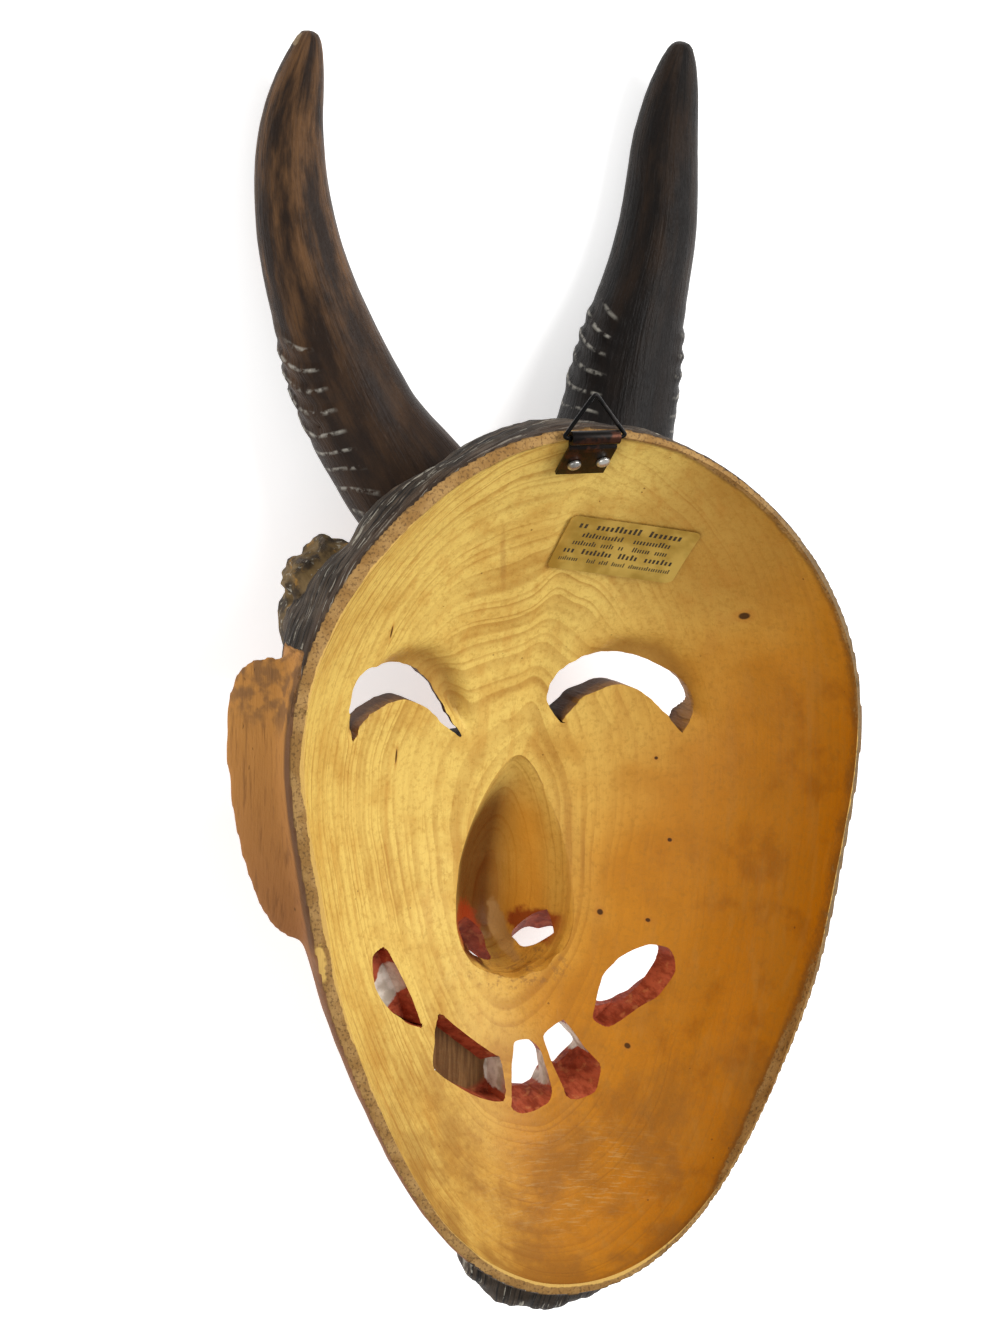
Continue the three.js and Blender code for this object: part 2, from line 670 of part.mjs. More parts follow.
const mask = new THREE.Group();
mask.position.y = -FACE_TO_MIDDLE;
addPiece(mask, 'mask', geometryOf(carveMask()), { color: 0xc99a55, roughness: 0.7, metalness: 0 });

let strap = strapGeometry();
for (const place of Object.values(NAIL_PLACES)) {
  strap = strap.subtract(solidOf(driveNail(nailGeometry(0.35), place)));
}
addPiece(mask, 'hanger_strap', geometryOf(strap), { color: 0x2b2522, roughness: 0.4, metalness: 0.8 });
addPiece(mask, 'hanger_ring', ringGeometry(), { color: 0x232323, roughness: 0.4, metalness: 0.9 });
for (const [name, place] of Object.entries(NAIL_PLACES)) {
  addPiece(mask, name, driveNail(nailGeometry(0), place), { color: 0xc4c4c2, roughness: 0.3, metalness: 1 });
}
addPiece(mask, 'label_sticker', labelGeometry(), { color: 0xcaa24a, roughness: 0.35, metalness: 0.6 });

export default mask;
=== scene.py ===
"""Horned carnival mask of limewood, lying face down on a pale floor, its hollow turned to the camera.

All shapes are worked out in millimetres about the middle of the face, where +X is the wearer's right, +Y runs
to the horn tips and +Z points out of the hollow. `to_scene` turns them into the frame's metres.
"""

import logging
import math
from dataclasses import dataclass, field
from enum import Enum
from typing import Any, Sequence

import bmesh
import bpy
import numpy as np
from mathutils import Matrix, Vector

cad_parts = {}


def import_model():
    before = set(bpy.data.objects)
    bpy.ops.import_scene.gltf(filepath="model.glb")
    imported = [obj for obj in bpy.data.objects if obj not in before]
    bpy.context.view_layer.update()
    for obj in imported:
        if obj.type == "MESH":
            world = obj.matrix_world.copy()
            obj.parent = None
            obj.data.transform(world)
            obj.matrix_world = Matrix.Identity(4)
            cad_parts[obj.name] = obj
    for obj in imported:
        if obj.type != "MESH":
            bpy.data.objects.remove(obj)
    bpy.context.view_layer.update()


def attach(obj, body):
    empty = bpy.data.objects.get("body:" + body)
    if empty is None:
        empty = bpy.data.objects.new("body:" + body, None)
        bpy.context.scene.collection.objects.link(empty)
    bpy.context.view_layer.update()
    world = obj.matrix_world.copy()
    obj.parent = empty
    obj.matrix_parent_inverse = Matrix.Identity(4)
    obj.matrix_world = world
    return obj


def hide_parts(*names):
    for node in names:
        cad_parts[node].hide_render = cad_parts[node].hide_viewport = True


LOG = logging.getLogger("carnival_mask")
Points = np.ndarray
Faces = list[tuple[int, ...]]
Thing = bpy.types.Object
Mesh = bpy.types.Mesh
Material = bpy.types.Material
Socket = bpy.types.NodeSocket

FACE_TO_MIDDLE = 64.9
RIM = 120.0


# Numbers and shapes


def smooth(low: float, high: float, value: Points) -> Points:
    """Eases from 0 at low to 1 at high.

    Args:
        low: where it leaves 0.
        high: where it reaches 1.
        value: what is eased.

    Returns:
        The eased values.
    """
    share = np.clip((np.asarray(value, float) - low) / (high - low), 0.0, 1.0)
    return share * share * (3.0 - 2.0 * share)


def hill(distance: Points, half_width: float) -> Points:
    """A rounded hill, 1 at the middle and fading over the half-width."""
    return np.exp(-((np.asarray(distance, float) / half_width) ** 2))


def grain_noise(points: Points, size: float, seed: int = 0) -> Points:
    """Smooth value noise on a lattice.

    Args:
        points: places in millimetres, one row each.
        size: the lattice spacing in millimetres.
        seed: picks another pattern.

    Returns:
        One value from -1 to 1 for each place.
    """
    scaled = np.asarray(points, float) / size
    cell = np.floor(scaled).astype(np.int64)
    part = scaled - cell
    part = part * part * (3.0 - 2.0 * part)
    total = np.zeros(len(scaled))
    for corner in range(8):
        step = np.array([(corner >> axis) & 1 for axis in range(3)])
        spot = cell + step
        mixed = spot[:, 0] * 73856093 ^ spot[:, 1] * 19349663 ^ spot[:, 2] * 83492791 ^ (seed + 7) * 265443576
        mixed = (mixed ^ (mixed >> 13)) * 1274126177
        mixed = (mixed ^ (mixed >> 16)) & 0xFFFF
        weight = np.prod(np.where(step == 1, part, 1.0 - part), axis=1)
        total += weight * (mixed / 32767.5 - 1.0)
    return total


def to_scene(points: Points) -> Points:
    """Face millimetres to the frame's metres."""
    return (np.asarray(points, float) - (0.0, FACE_TO_MIDDLE, 0.0)) * 0.001


def to_face(points: Points) -> Points:
    """The frame's metres to face millimetres."""
    return np.asarray(points, float) * 1000.0 + (0.0, FACE_TO_MIDDLE, 0.0)


def ball(segments: int, rings: int) -> tuple[Points, Faces]:
    """A unit ball with its poles on Z.

    Args:
        segments: columns round the ball.
        rings: rows from pole to pole.

    Returns:
        Its points and faces.
    """
    points = [(0.0, 0.0, 1.0)]
    for row in range(1, rings):
        tilt = math.pi * row / rings
        for column in range(segments):
            turn = 2 * math.pi * column / segments
            points.append((math.sin(tilt) * math.cos(turn), math.sin(tilt) * math.sin(turn), math.cos(tilt)))
    points.append((0.0, 0.0, -1.0))
    faces: Faces = []
    for column in range(segments):
        after = (column + 1) % segments
        faces.append((0, 1 + column, 1 + after))
        for row in range(rings - 2):
            here = 1 + row * segments
            below = here + segments
            faces.append((here + column, below + column, below + after, here + after))
        last = 1 + (rings - 2) * segments
        faces.append((last + column, len(points) - 1, last + after))
    return np.array(points), faces


def bowl(segments: int, rings: int) -> tuple[Points, Faces, Points]:
    """A half ball with its pole down and a flat lid.

    Args:
        segments: columns round the bowl.
        rings: rows from the lip to the pole.

    Returns:
        Its points, its faces, and for each point whether it is on the lid.
    """
    points = []
    for row in range(rings):
        tilt = 0.5 * math.pi * row / rings
        for column in range(segments):
            turn = 2 * math.pi * column / segments
            points.append((math.cos(tilt) * math.cos(turn), math.cos(tilt) * math.sin(turn), -math.sin(tilt)))
    pole = len(points)
    points.append((0.0, 0.0, -1.0))
    middle = len(points)
    points.append((0.0, 0.0, 0.0))
    lid = np.zeros(len(points), bool)
    lid[:segments] = True
    lid[middle] = True
    faces: Faces = []
    for column in range(segments):
        after = (column + 1) % segments
        for row in range(rings - 1):
            here = row * segments
            below = here + segments
            faces.append((here + column, below + column, below + after, here + after))
        last = (rings - 1) * segments
        faces.append((last + column, pole, last + after))
        faces.append((middle, column, after))
    return np.array(points), faces, lid


def prism(bottom: Points, top: Points) -> tuple[Points, Faces]:
    """A closed column between two outlines of the same number of points.

    Args:
        bottom: the lower outline, as points.
        top: the upper outline, as points.

    Returns:
        Its points and faces.
    """
    count = len(bottom)
    points = np.vstack([bottom, top])
    faces: Faces = [tuple(range(count - 1, -1, -1)), tuple(range(count, 2 * count))]
    for corner in range(count):
        after = (corner + 1) % count
        faces.append((corner, after, count + after, count + corner))
    return points, faces


def ease_between(start: Points, leave: Points, end: Points, reach: Points, t: float) -> Points:
    """A place on a smooth span.

    Args:
        start: where it starts.
        leave: its speed there.
        end: where it ends.
        reach: its speed there.
        t: the share of the span.

    Returns:
        The place.
    """
    return (
        start * (2 * t ** 3 - 3 * t ** 2 + 1) + leave * (t ** 3 - 2 * t ** 2 + t)
        + end * (3 * t ** 2 - 2 * t ** 3) + reach * (t ** 3 - t ** 2)
    )


def at_height(outline: Points, height: float) -> Points:
    """A flat outline's points at one height."""
    return np.column_stack([outline, np.full(len(outline), height)])


def closed_curve(corners: Sequence[Sequence[float]], steps: int, tension: float) -> Points:
    """A closed smooth outline through its corners.

    Args:
        corners: the places it passes through.
        steps: points from each corner to the next.
        tension: how strongly it swings at each corner.

    Returns:
        The outline's points.
    """
    corners_in = np.array(corners, float)
    count = len(corners_in)
    outline = []
    for index in range(count):
        before, start, end, after = (corners_in[(index + shift) % count] for shift in (-1, 0, 1, 2))
        leave = tension * (end - before)
        reach = tension * (after - start)
        for step in range(steps):
            outline.append(ease_between(start, leave, end, reach, step / steps))
    return np.array(outline)


def open_curve(corners: Sequence[Sequence[float]], shares: Points) -> Points:
    """Points along an open curve that passes through its corners with even tension.

    Args:
        corners: the places it passes through.
        shares: where to read it, from 0 at its start to 1 at its end.

    Returns:
        One point for each share.
    """
    knots = np.array(corners, float)
    knots = np.vstack([2 * knots[0] - knots[1], knots, 2 * knots[-1] - knots[-2]])
    spans = len(corners) - 1
    result = []
    for share in np.atleast_1d(shares):
        place = min(max(float(share), 0.0), 1.0) * spans
        index = min(int(place), spans - 1)
        t = place - index
        before, start, end, after = knots[index:index + 4]
        legs = ((before, start), (start, end), (end, after))
        gaps = [max(1e-4, float(np.linalg.norm(b - a)) ** 0.5) for a, b in legs]
        leave = (start - before) / gaps[0] - (end - before) / (gaps[0] + gaps[1]) + (end - start) / gaps[1]
        reach = (end - start) / gaps[1] - (after - start) / (gaps[1] + gaps[2]) + (after - end) / gaps[2]
        leave, reach = leave * gaps[1], reach * gaps[1]
        result.append(ease_between(start, leave, end, reach, t))
    return np.array(result)


def add_object(name: str, data: Mesh | bpy.types.Camera | bpy.types.Light) -> Thing:
    """Adds an object to the scene.

    Args:
        name: its name.
        data: its mesh, camera or light.

    Returns:
        The object.
    """
    thing = bpy.data.objects.new(name, data)
    bpy.context.scene.collection.objects.link(thing)
    return thing


def make_object(name: str, points: Points, faces: Faces, material: Material | None = None) -> Thing:
    """A mesh object from face millimetres.

    Args:
        name: the object's name.
        points: its vertices in face millimetres.
        faces: its faces, any way round.
        material: its finish.

    Returns:
        The object, linked to the scene, with its faces turned outwards.
    """
    mesh = bpy.data.meshes.new(name)
    mesh.from_pydata(to_scene(points).tolist(), [], faces)
    turn_outwards(mesh)
    if material:
        mesh.materials.append(material)
    return add_object(name, mesh)


def turn_outwards(mesh: Mesh) -> None:
    """Turns every face of a mesh to point outwards.

    Args:
        mesh: the mesh.
    """
    soft = bmesh.new()
    soft.from_mesh(mesh)
    bmesh.ops.recalc_face_normals(soft, faces=soft.faces)
    soft.to_mesh(mesh)
    soft.free()
    mesh.update()


def apply_modifiers(thing: Thing) -> None:
    """Makes an object's modifiers part of its mesh.

    Args:
        thing: the object.
    """
    graph = bpy.context.evaluated_depsgraph_get()
    mesh = bpy.data.meshes.new_from_object(thing.evaluated_get(graph))
    old = thing.data
    thing.modifiers.clear()
    thing.data = mesh
    bpy.data.meshes.remove(old)


def merge(things: Sequence[Thing], name: str) -> Thing:
    """One object out of several.

    Args:
        things: the objects, which go.
        name: the new object's name.

    Returns:
        The new object.
    """
    soft = bmesh.new()
    for thing in things:
        soft.from_mesh(thing.data)
    mesh = bpy.data.meshes.new(name)
    soft.to_mesh(mesh)
    soft.free()
    for thing in things:
        bpy.data.objects.remove(thing)
    return add_object(name, mesh)


def places_of(mesh: Mesh) -> Points:
    """A mesh's vertices, in face millimetres.

    Args:
        mesh: the mesh.

    Returns:
        One row for each vertex.
    """
    flat = np.empty(len(mesh.vertices) * 3)
    mesh.vertices.foreach_get("co", flat)
    return to_face(flat.reshape(-1, 3))


def place(mesh: Mesh, points: Points) -> None:
    """Moves a mesh's vertices to places in face millimetres."""
    mesh.vertices.foreach_set("co", to_scene(points).ravel())
    mesh.update()


def normals_of(mesh: Mesh) -> Points:
    """A mesh's vertex normals.

    Args:
        mesh: the mesh.

    Returns:
        One unit vector for each vertex.
    """
    flat = np.empty(len(mesh.vertices) * 3)
    mesh.vertex_normals.foreach_get("vector", flat)
    return flat.reshape(-1, 3)


def relax(mesh: Mesh, weights: Points, rounds: int) -> None:
    """Smooths a mesh where the weights say so, as a carver eases an inner corner.

    Args:
        mesh: the mesh.
        weights: from 0, kept, to 1, smoothed, for each vertex.
        rounds: how many times each vertex moves towards its neighbours.
    """
    ends = np.empty(len(mesh.edges) * 2, np.int64)
    mesh.edges.foreach_get("vertices", ends)
    first, second = ends.reshape(-1, 2).T
    points = places_of(mesh)
    count = np.bincount(first, minlength=len(points)) + np.bincount(second, minlength=len(points))
    count = np.maximum(count, 1)[:, None]
    share = np.clip(weights, 0, 1)[:, None]
    for _ in range(rounds):
        total = np.zeros_like(points)
        for axis in range(3):
            total[:, axis] = (
                np.bincount(first, points[second, axis], len(points))
                + np.bincount(second, points[first, axis], len(points))
            )
        points = points + share * (total / count - points)
    place(mesh, points)


def keep_value(mesh: Mesh, name: str, values: Points) -> None:
    """Stores one number for each vertex of a mesh, for its finish to read."""
    mesh.attributes.new(name, "FLOAT", "POINT").data.foreach_set("value", np.asarray(values, np.float32))


def keep_vector(mesh: Mesh, name: str, values: Points) -> None:
    """Stores one vector for each vertex of a mesh, for its finish to read."""
    stored = mesh.attributes.new(name, "FLOAT_VECTOR", "POINT")
    stored.data.foreach_set("vector", np.asarray(values, np.float32).ravel())


def shade_smooth(thing: Thing, angle: float = 40.0) -> None:
    """Shades an object's faces as one skin, with its edges sharper than the angle kept crisp.

    Args:
        thing: the piece.
        angle: in degrees.
    """
    mesh = thing.data
    mesh.polygons.foreach_set("use_smooth", np.ones(len(mesh.polygons), bool))
    mesh.set_sharp_from_angle(angle=math.radians(angle))


# The head


@dataclass(frozen=True)
class Face:
    """The head's outline, its domed front and its hollow, as functions of a place on the face."""

    mean: float = 133.0
    oval: float = 25.8
    egg: float = 8.4
    temple: float = 6.5
    square: float = 2.9
    jaw: float = 1.6
    depth: float = 90.0
    hollow_depth: float = 78.0
    rim_width: float = 6.0
    eye_x: float = 45.0
    eye_y: float = 41.0
    scoop_depth: float = 6.0
    nose_x: float = 4.5
    nose_y: float = -13.5
    nose_half_tall: float = 42.5
    nose_drift: float = 1.5

    def radius(self, angle: Points) -> Points:
        """Distance from the middle to the outer edge at the rim, by direction.

        Args:
            angle: directions from the middle.

        Returns:
            Millimetres for each direction.
        """
        return (
            self.mean + self.egg * np.sin(angle) - self.oval * np.cos(2 * angle) + self.temple * np.sin(3 * angle)
            + self.square * np.cos(4 * angle) - self.jaw * (np.sin(5 * angle) + np.cos(6 * angle))
        )

    def fullness(self, angle: Points) -> Points:
        """How full the side is: fuller at the crown, slimmer at the jaw."""
        rise = np.sin(angle)
        return 1 - np.where(rise > 0, 0.35, 0.16) * rise * rise

    def taper(self, angle: Points) -> Points:
        """How quickly the front falls away below the mouth."""
        return 1 + 0.22 * np.maximum(0, -np.sin(angle))

    def front(self, x: Points, y: Points) -> Points:
        """Height of the plain domed front over a place.

        Args:
            x: places across the face.
            y: places up the face.

        Returns:
            Millimetres for each place.
        """
        angle = np.arctan2(y, x)
        reach = np.minimum(1, np.hypot(x, y) / self.radius(angle))
        across = reach ** (1 / self.fullness(angle))
        return RIM - self.depth * np.sqrt(np.maximum(0, 1 - across * across)) ** self.taper(angle)

    def eye_scoop(self, x: Points, y: Points) -> Points:
        """Depth of the gouged scoop round the top of each eye.

        Args:
            x: places across the face.
            y: places up the face.

        Returns:
            Millimetres for each place.
        """
        beside = np.abs(x) - self.eye_x
        reach = np.hypot(beside / 29, (y - self.eye_y) / 38)
        sill = self.eye_y + 15 * (1 - (beside / 25) ** 2)
        turn = np.arctan2(y - self.eye_y, beside)
        flute = 0.7 * np.abs(np.sin(6.5 * turn)) * hill(reach - 0.9, 0.12)
        scoop = self.scoop_depth * (1 - smooth(0.74, 1.03, reach))
        return (scoop + flute) * smooth(0, 7, y - sill) * smooth(38, 46, y)

    def nose_half_width(self, rise: Points) -> Points:
        """Half the nose hollow's width, from -1 at its foot to 1 at its top."""
        return 23 - 9 * rise

    def nose_lip(self, x: Points, y: Points) -> Points:
        """Depth of the soft slope round the nose hollow, broad on the right and at its top.

        Args:
            x: places across the face.
            y: places up the face.

        Returns:
            Millimetres for each place.
        """
        rise = np.clip((y - self.nose_y) / self.nose_half_tall, -1.2, 1.3)
        beside = (x - self.nose_x - self.nose_drift * rise) / self.nose_half_width(rise)
        away = np.hypot(beside, rise * (1 - 0.12 * smooth(0, 1, rise)))
        broad = smooth(-0.5, 0.5, beside)
        top = smooth(0.2, 0.9, rise)
        fade = 1 - smooth(0.8, 1.12 + 0.3 * broad + 0.2 * top, away)
        return (0.8 + 2.4 * broad + 0.8 * top) * fade * smooth(-1.0, -0.5, rise)

    def hollow(self, x: Points, y: Points) -> Points:
        """Height of the hollow's floor over a place.

        Args:
            x: places across the face.
            y: places up the face.

        Returns:
            Millimetres for each place.
        """
        angle = np.arctan2(y, x)
        rise = np.sin(angle)
        reach = np.minimum(1, np.hypot(x, y) / (self.radius(angle) - self.rim_width))
        taper = 1.06 + np.where(rise > 0, 0.74, 0.36) * rise * rise
        drop = np.sqrt(np.maximum(0, 1 - reach * reach)) ** taper
        return RIM - self.hollow_depth * drop - self.eye_scoop(x, y) - self.nose_lip(x, y)


FACE = Face()


@dataclass(frozen=True)
class Features:
    """What stands out of the domed front: brows, eyes, cheeks, nose, grin, chin and hair."""

    mouth_y: float = -93.0
    mouth_half_width: float = 70.0
    mouth_curl: float = 52.0
    mouth_half_open: float = 12.0
    tooth_pitch: float = 14.0
    nose_top: float = 54.0
    nose_tip: float = -40.0
    nose_rise: float = 35.0
    nose_middle: float = 2.0
    hair_locks: int = 24

    def mouth_offset(self, x: Points, y: Points) -> Points:
        """Distance from the grin's middle line."""
        line = self.mouth_y + self.mouth_curl * (x / 60) ** 2
        return (y - line) / np.hypot(1, self.mouth_curl * 2 * x / 3600)

    def mouth_open(self, x: Points) -> Points:
        """Half the opening of the grin."""
        return self.mouth_half_open * np.sqrt(np.maximum(0.04, 1 - (x / self.mouth_half_width) ** 2))

    def mouth_ends(self, x: Points) -> Points:
        """1 along the grin and 0 beyond its corners."""
        return 1 - smooth(self.mouth_half_width, self.mouth_half_width + 8, np.abs(x))

    def tooth(self, x: Points, y: Points) -> Points:
        """Two staggered rows of pegs that fill the grin.

        Args:
            x: places across the face.
            y: places up the face.

        Returns:
            From 0 between the pegs to 1 on them.
        """
        offset = self.mouth_offset(x, y)
        shift = np.where(offset > 0, 0, 0.5)
        along = x * (1 + 0.006 * np.abs(x)) / self.tooth_pitch
        peg = np.sqrt(np.abs(np.sin(np.pi * (along + shift))))
        edge = self.mouth_open(x)
        row = smooth(0, 3, np.abs(offset)) * (1 - smooth(edge - 1, edge + 2, np.abs(offset)))
        return peg * row * self.mouth_ends(x)

    def lip(self, x: Points, y: Points) -> Points:
        """The rolled lips round the grin."""
        return hill(np.abs(self.mouth_offset(x, y)) - self.mouth_open(x) - 6, 5) * self.mouth_ends(x)

    def brow(self, x: Points, y: Points) -> Points:
        """The bushy brows, from 0 to 1.

        Args:
            x: places across the face.
            y: places up the face.

        Returns:
            One value for each place.
        """
        side = np.abs(x)
        line = 44 + 44 * np.sqrt(np.maximum(0, side - 6) / 88)
        ends = smooth(4, 18, side) * (1 - smooth(84, 104, side))
        return ends * hill(y - line, 10)

    def relief(self, x: Points, y: Points) -> Points:
        """How far the carved face stands out of the dome.

        Args:
            x: places across the face.
            y: places up the face.

        Returns:
            Millimetres for each place.
        """
        side = np.abs(x)
        brow = 12 * self.brow(x, y) * (1 + 0.32 * np.sin(side * 0.52 + y * 0.22))
        off = side - 46
        eye = -5 * hill(np.hypot(off / 28, (y - 58) / 14), 0.9)
        bag = 4 * hill(y - 40 - 0.006 * off * off, 5) * hill(off, 26)
        cheek = 14 * hill(side - 57, 25) * hill(y + 6, 27)
        down = (self.nose_top - y) / (self.nose_top - self.nose_tip)
        ridge = 5 * smooth(0, 0.25, down) + (self.nose_rise - 5) * smooth(0.1, 1, down)
        beside = np.abs(x - self.nose_middle)
        blade = ridge * hill(beside / (9 + 7 * smooth(0, 1, down)), 1.0)
        blade = blade * (1 - smooth(-self.nose_tip + 5, -self.nose_tip + 18, -y))
        wings = 15 * hill(beside - 18, 8.5) * hill(y + 45, 11)
        away = np.abs(self.mouth_offset(x, y))
        open_ = self.mouth_open(x)
        cavity = -3.5 * (1 - smooth(0, 5, away - open_ + 3))
        mouth = self.mouth_ends(x) * (cavity + 6 * hill(away - open_ - 6, 5)) + 5 * self.tooth(x, y)
        chin = 15 * hill(x, 30) * hill(y + 134, 17)
        patch = hill(x, 44) * smooth(84, 96, y) * (1 - smooth(124, 134, y))
        forehead = 2.2 * patch * np.sin((y - 0.004 * x * x) * 0.56)
        return brow + eye + bag + cheek + np.maximum(blade, wings) + mouth + chin + forehead

    def hair_cover(self, x: Points, y: Points) -> Points:
        """Where hair covers the front: outside the face, above the ears."""
        return smooth(0.98, 1.08, np.hypot(x / 90, (y - 16) / 112)) * smooth(58, 78, y)


FEATURES = Features()


# The carved wood


class Finish(Enum):
    """Which of the wood's finishes a cut or a surface takes."""

    PAINTED = 0
    HOLLOW = 1
    REVEAL = 2
    MOUTH = 3


@dataclass(frozen=True)
class Horn:
    """One horn, along a curved middle line from its root in the forehead to its tip.

    `inner` is the side on which its foot flares, and `outer` the side that its ridges run down, 0 for both.
    """

    name: str
    line: tuple[tuple[float, float, float], ...]
    root_radius: float = 21.0
    taper: float = 6.5
    tip_radius: float = 2.5
    inner: int = 1
    outer: int = 0
    ridges: int = 23
    ridge_rise: float = 3.0

    def radius(self, along: Points) -> Points:
        """The horn's plain radius by its share along.

        Args:
            along: shares along the horn.

        Returns:
            Millimetres for each share.
        """
        body = self.root_radius - self.taper * smooth(0.2, 0.72, along)
        tip = np.maximum(0, 1 - np.maximum(0, (along - 0.6) / 0.4) ** 1.9) ** 0.62
        return self.tip_radius + (body - self.tip_radius) * tip

    def frame(self, shares: Points) -> tuple[Points, Points, Points]:
        """The middle line, and the two directions across it, at each share along.

        Args:
            shares: from 0 at the root to 1 at the tip.

        Returns:
            One place and two unit vectors for each share.
        """
        centre = open_curve(self.line, shares)
        tangent = open_curve(self.line, shares + 1e-3) - open_curve(self.line, shares - 1e-3)
        tangent /= np.linalg.norm(tangent, axis=1)[:, None]
        aside = np.cross(tangent, (0.0, 0.0, 1.0))
        aside /= np.linalg.norm(aside, axis=1)[:, None]
        return centre, aside, np.cross(aside, tangent)

    def ridge_phase(self, along: Points, turn: Points) -> Points:
        """Counts the ridges along the horn. They slant, as on a twisted rope."""
        uneven = along + 0.05 * np.sin(turn) + 0.007 * np.sin(3 * turn + 17 * along) + 0.006 * np.sin(31 * along)
        return self.ridges * uneven

    def ridge_cover(self, along: Points, turn: Points) -> Points:
        """Where the ridges are cut: round the front and well onto the outer side of the root."""
        sideways = self.outer * np.cos(turn) if self.outer else 0.7 * np.abs(np.cos(turn))
        return (1 - smooth(0.0, 0.6, np.sin(turn) - 0.75 * sideways)) * (1 - smooth(0.4, 0.5, along))

    def build(self) -> Thing:
        """The horn, its front scalloped by ridges and its back smooth.

        Returns:
            The horn.
        """
        rows, columns = 260, 96
        shares = np.linspace(0, 1, rows)
        centre, aside, back = self.frame(shares)
        turn = 2 * np.pi * np.arange(columns) / columns
        points = []
        for row, share in enumerate(shares):
            step = self.ridge_phase(share, turn) % 1.0
            scallop = step ** 0.8 * (1 - smooth(0.82, 1.0, step))
            ridge = self.ridge_rise * self.ridge_cover(share, turn) * scallop
            flat = -0.5 * hill(np.sin(turn) - 0.9, 0.3) * smooth(0.1, 0.3, share)
            foot = 0.62 + 0.38 * smooth(0, 0.11, share)
            flare = 8 * (1 - smooth(0.08, 0.27, share)) * smooth(-0.1, 0.9, np.cos(turn) * self.inner)
            reach = (self.radius(share) * foot + ridge + flat + flare)[:, None]
            way = np.cos(turn)[:, None] * aside[row] + np.sin(turn)[:, None] * back[row]
            points.append(centre[row] + reach * way)
        points = np.vstack([*points, centre[:1], centre[-1:]])
        faces: Faces = []
        for column in range(columns):
            after = (column + 1) % columns
            for row in range(rows - 1):
                here = row * columns
                faces.append((here + column, here + after, here + columns + after, here + columns + column))
            faces.append((rows * columns, after, column))
            faces.append((rows * columns + 1, (rows - 1) * columns + column, (rows - 1) * columns + after))
        return make_object(self.name, points, faces)

    def locate(self, points: Points) -> tuple[Points, Points, Points]:
        """Where places lie against the horn.

        Args:
            points: places in face millimetres.

        Returns:
            For each, the share along the horn, the distance from its middle line as a share of its radius,
            and the turn round it.
        """
        shares = np.linspace(0, 1, 160)
        centre, aside, back = self.frame(shares)
        lead = np.gradient(centre, shares, axis=0)
        along = np.zeros(len(points))
        away = np.full(len(points), 9.0)
        turn = np.zeros(len(points))
        near = np.where(points[:, 1] > 95)[0]
        for start in range(0, len(near), 4000):
            chunk = near[start:start + 4000]
            gap = points[chunk][:, None, :] - centre[None]
            best = np.argmin(np.einsum("ijk,ijk->ij", gap, gap), axis=1)
            offset = gap[np.arange(len(chunk)), best]
            along[chunk] = shares[best] + (offset * lead[best]).sum(1) / (lead[best] ** 2).sum(1)
            away[chunk] = np.linalg.norm(offset, axis=1) / self.radius(shares[best])
            turn[chunk] = np.arctan2((offset * back[best]).sum(1), (offset * aside[best]).sum(1))
        return along, away, turn


HORNS = (
    Horn("horn_left", (
        (-27, 108, 46), (-47, 148, 29), (-62.5, 183, 21), (-75, 226, 15), (-77.5, 264, 13.4), (-72, 303, 19),
    ), outer=-1),
    Horn("horn_right", (
        (42, 106, 46), (50, 148, 29), (59.5, 183, 21), (72, 226, 15), (76, 264, 13.4), (79.5, 299, 19),
    ), inner=-1),
)


@dataclass(frozen=True)
class Ear:
    """A slanting leaf of wood whose flat back carries on from the rim, hollowed on its front."""

    side: int
    middle_x: float = 110.0
    middle_y: float = 29.0
    below_rim: float = 20.0
    lean: float = 4.5
    half_tall: float = 53.0
    half_wide: float = 23.0
    half_thick: float = 6.5
    slant: float = math.atan2(30, 25)

    def build(self) -> Thing:
        """The ear, with a folded rim and a hollow towards the front.

        Returns:
            The ear.
        """
        unit, faces = ball(96, 64)
        across, tall, deep = unit[:, 0], unit[:, 1], unit[:, 2]
        wide = self.half_wide * (0.8 + 0.28 * smooth(-1, 0.6, tall))
        out = np.sign(across) * np.abs(across) ** 0.72 * wide
        cup = 4.5 * smooth(0.1, 0.7, -deep) * hill(across - 0.15, 0.5) * hill(tall - 0.1, 0.5)
        fold = -1.6 * smooth(0.2, 0.8, -deep) * hill(np.hypot(across - 0.1, tall) - 0.45, 0.09)
        depth = self.half_thick * np.where(deep > 0, 0.45 * deep, deep) + cup + fold
        x = self.middle_x + out * math.cos(self.slant) + depth * math.sin(self.slant) + self.lean * tall
        z = RIM - self.below_rim - out * math.sin(self.slant) + depth * math.cos(self.slant)
        y = self.middle_y + self.half_tall * np.sign(tall) * np.abs(tall) ** 0.86
        return make_object("ear", np.column_stack([self.side * x, y, z]), faces)

    def cover(self, points: Points) -> Points:
        """Where places lie on the ear, from 0 to 1.

        Args:
            points: places in face millimetres.

        Returns:
            One value for each place.
        """
        tall = np.clip((points[:, 1] - self.middle_y) / self.half_tall, -1.2, 1.2)
        x = self.side * points[:, 0] - self.middle_x - self.lean * tall
        z = points[:, 2] - (RIM - self.below_rim)
        out = x * math.cos(self.slant) - z * math.sin(self.slant)
        depth = x * math.sin(self.slant) + z * math.cos(self.slant)
        inside = smooth(-20, -15, out) * (1 - smooth(26, 30, out)) * (1 - smooth(9, 13, np.abs(depth)))
        return inside * (1 - smooth(1.02, 1.12, np.abs(tall)))


EARS = (Ear(-1), Ear(1))
BEARD_X, BEARD_Y = -3.0, -149.0
TUFT_LUMPS = ((-82, 111, 72, 9), (-89, 102, 74, 11), (-91, 88, 75, 11), (-92, 77, 77, 9))


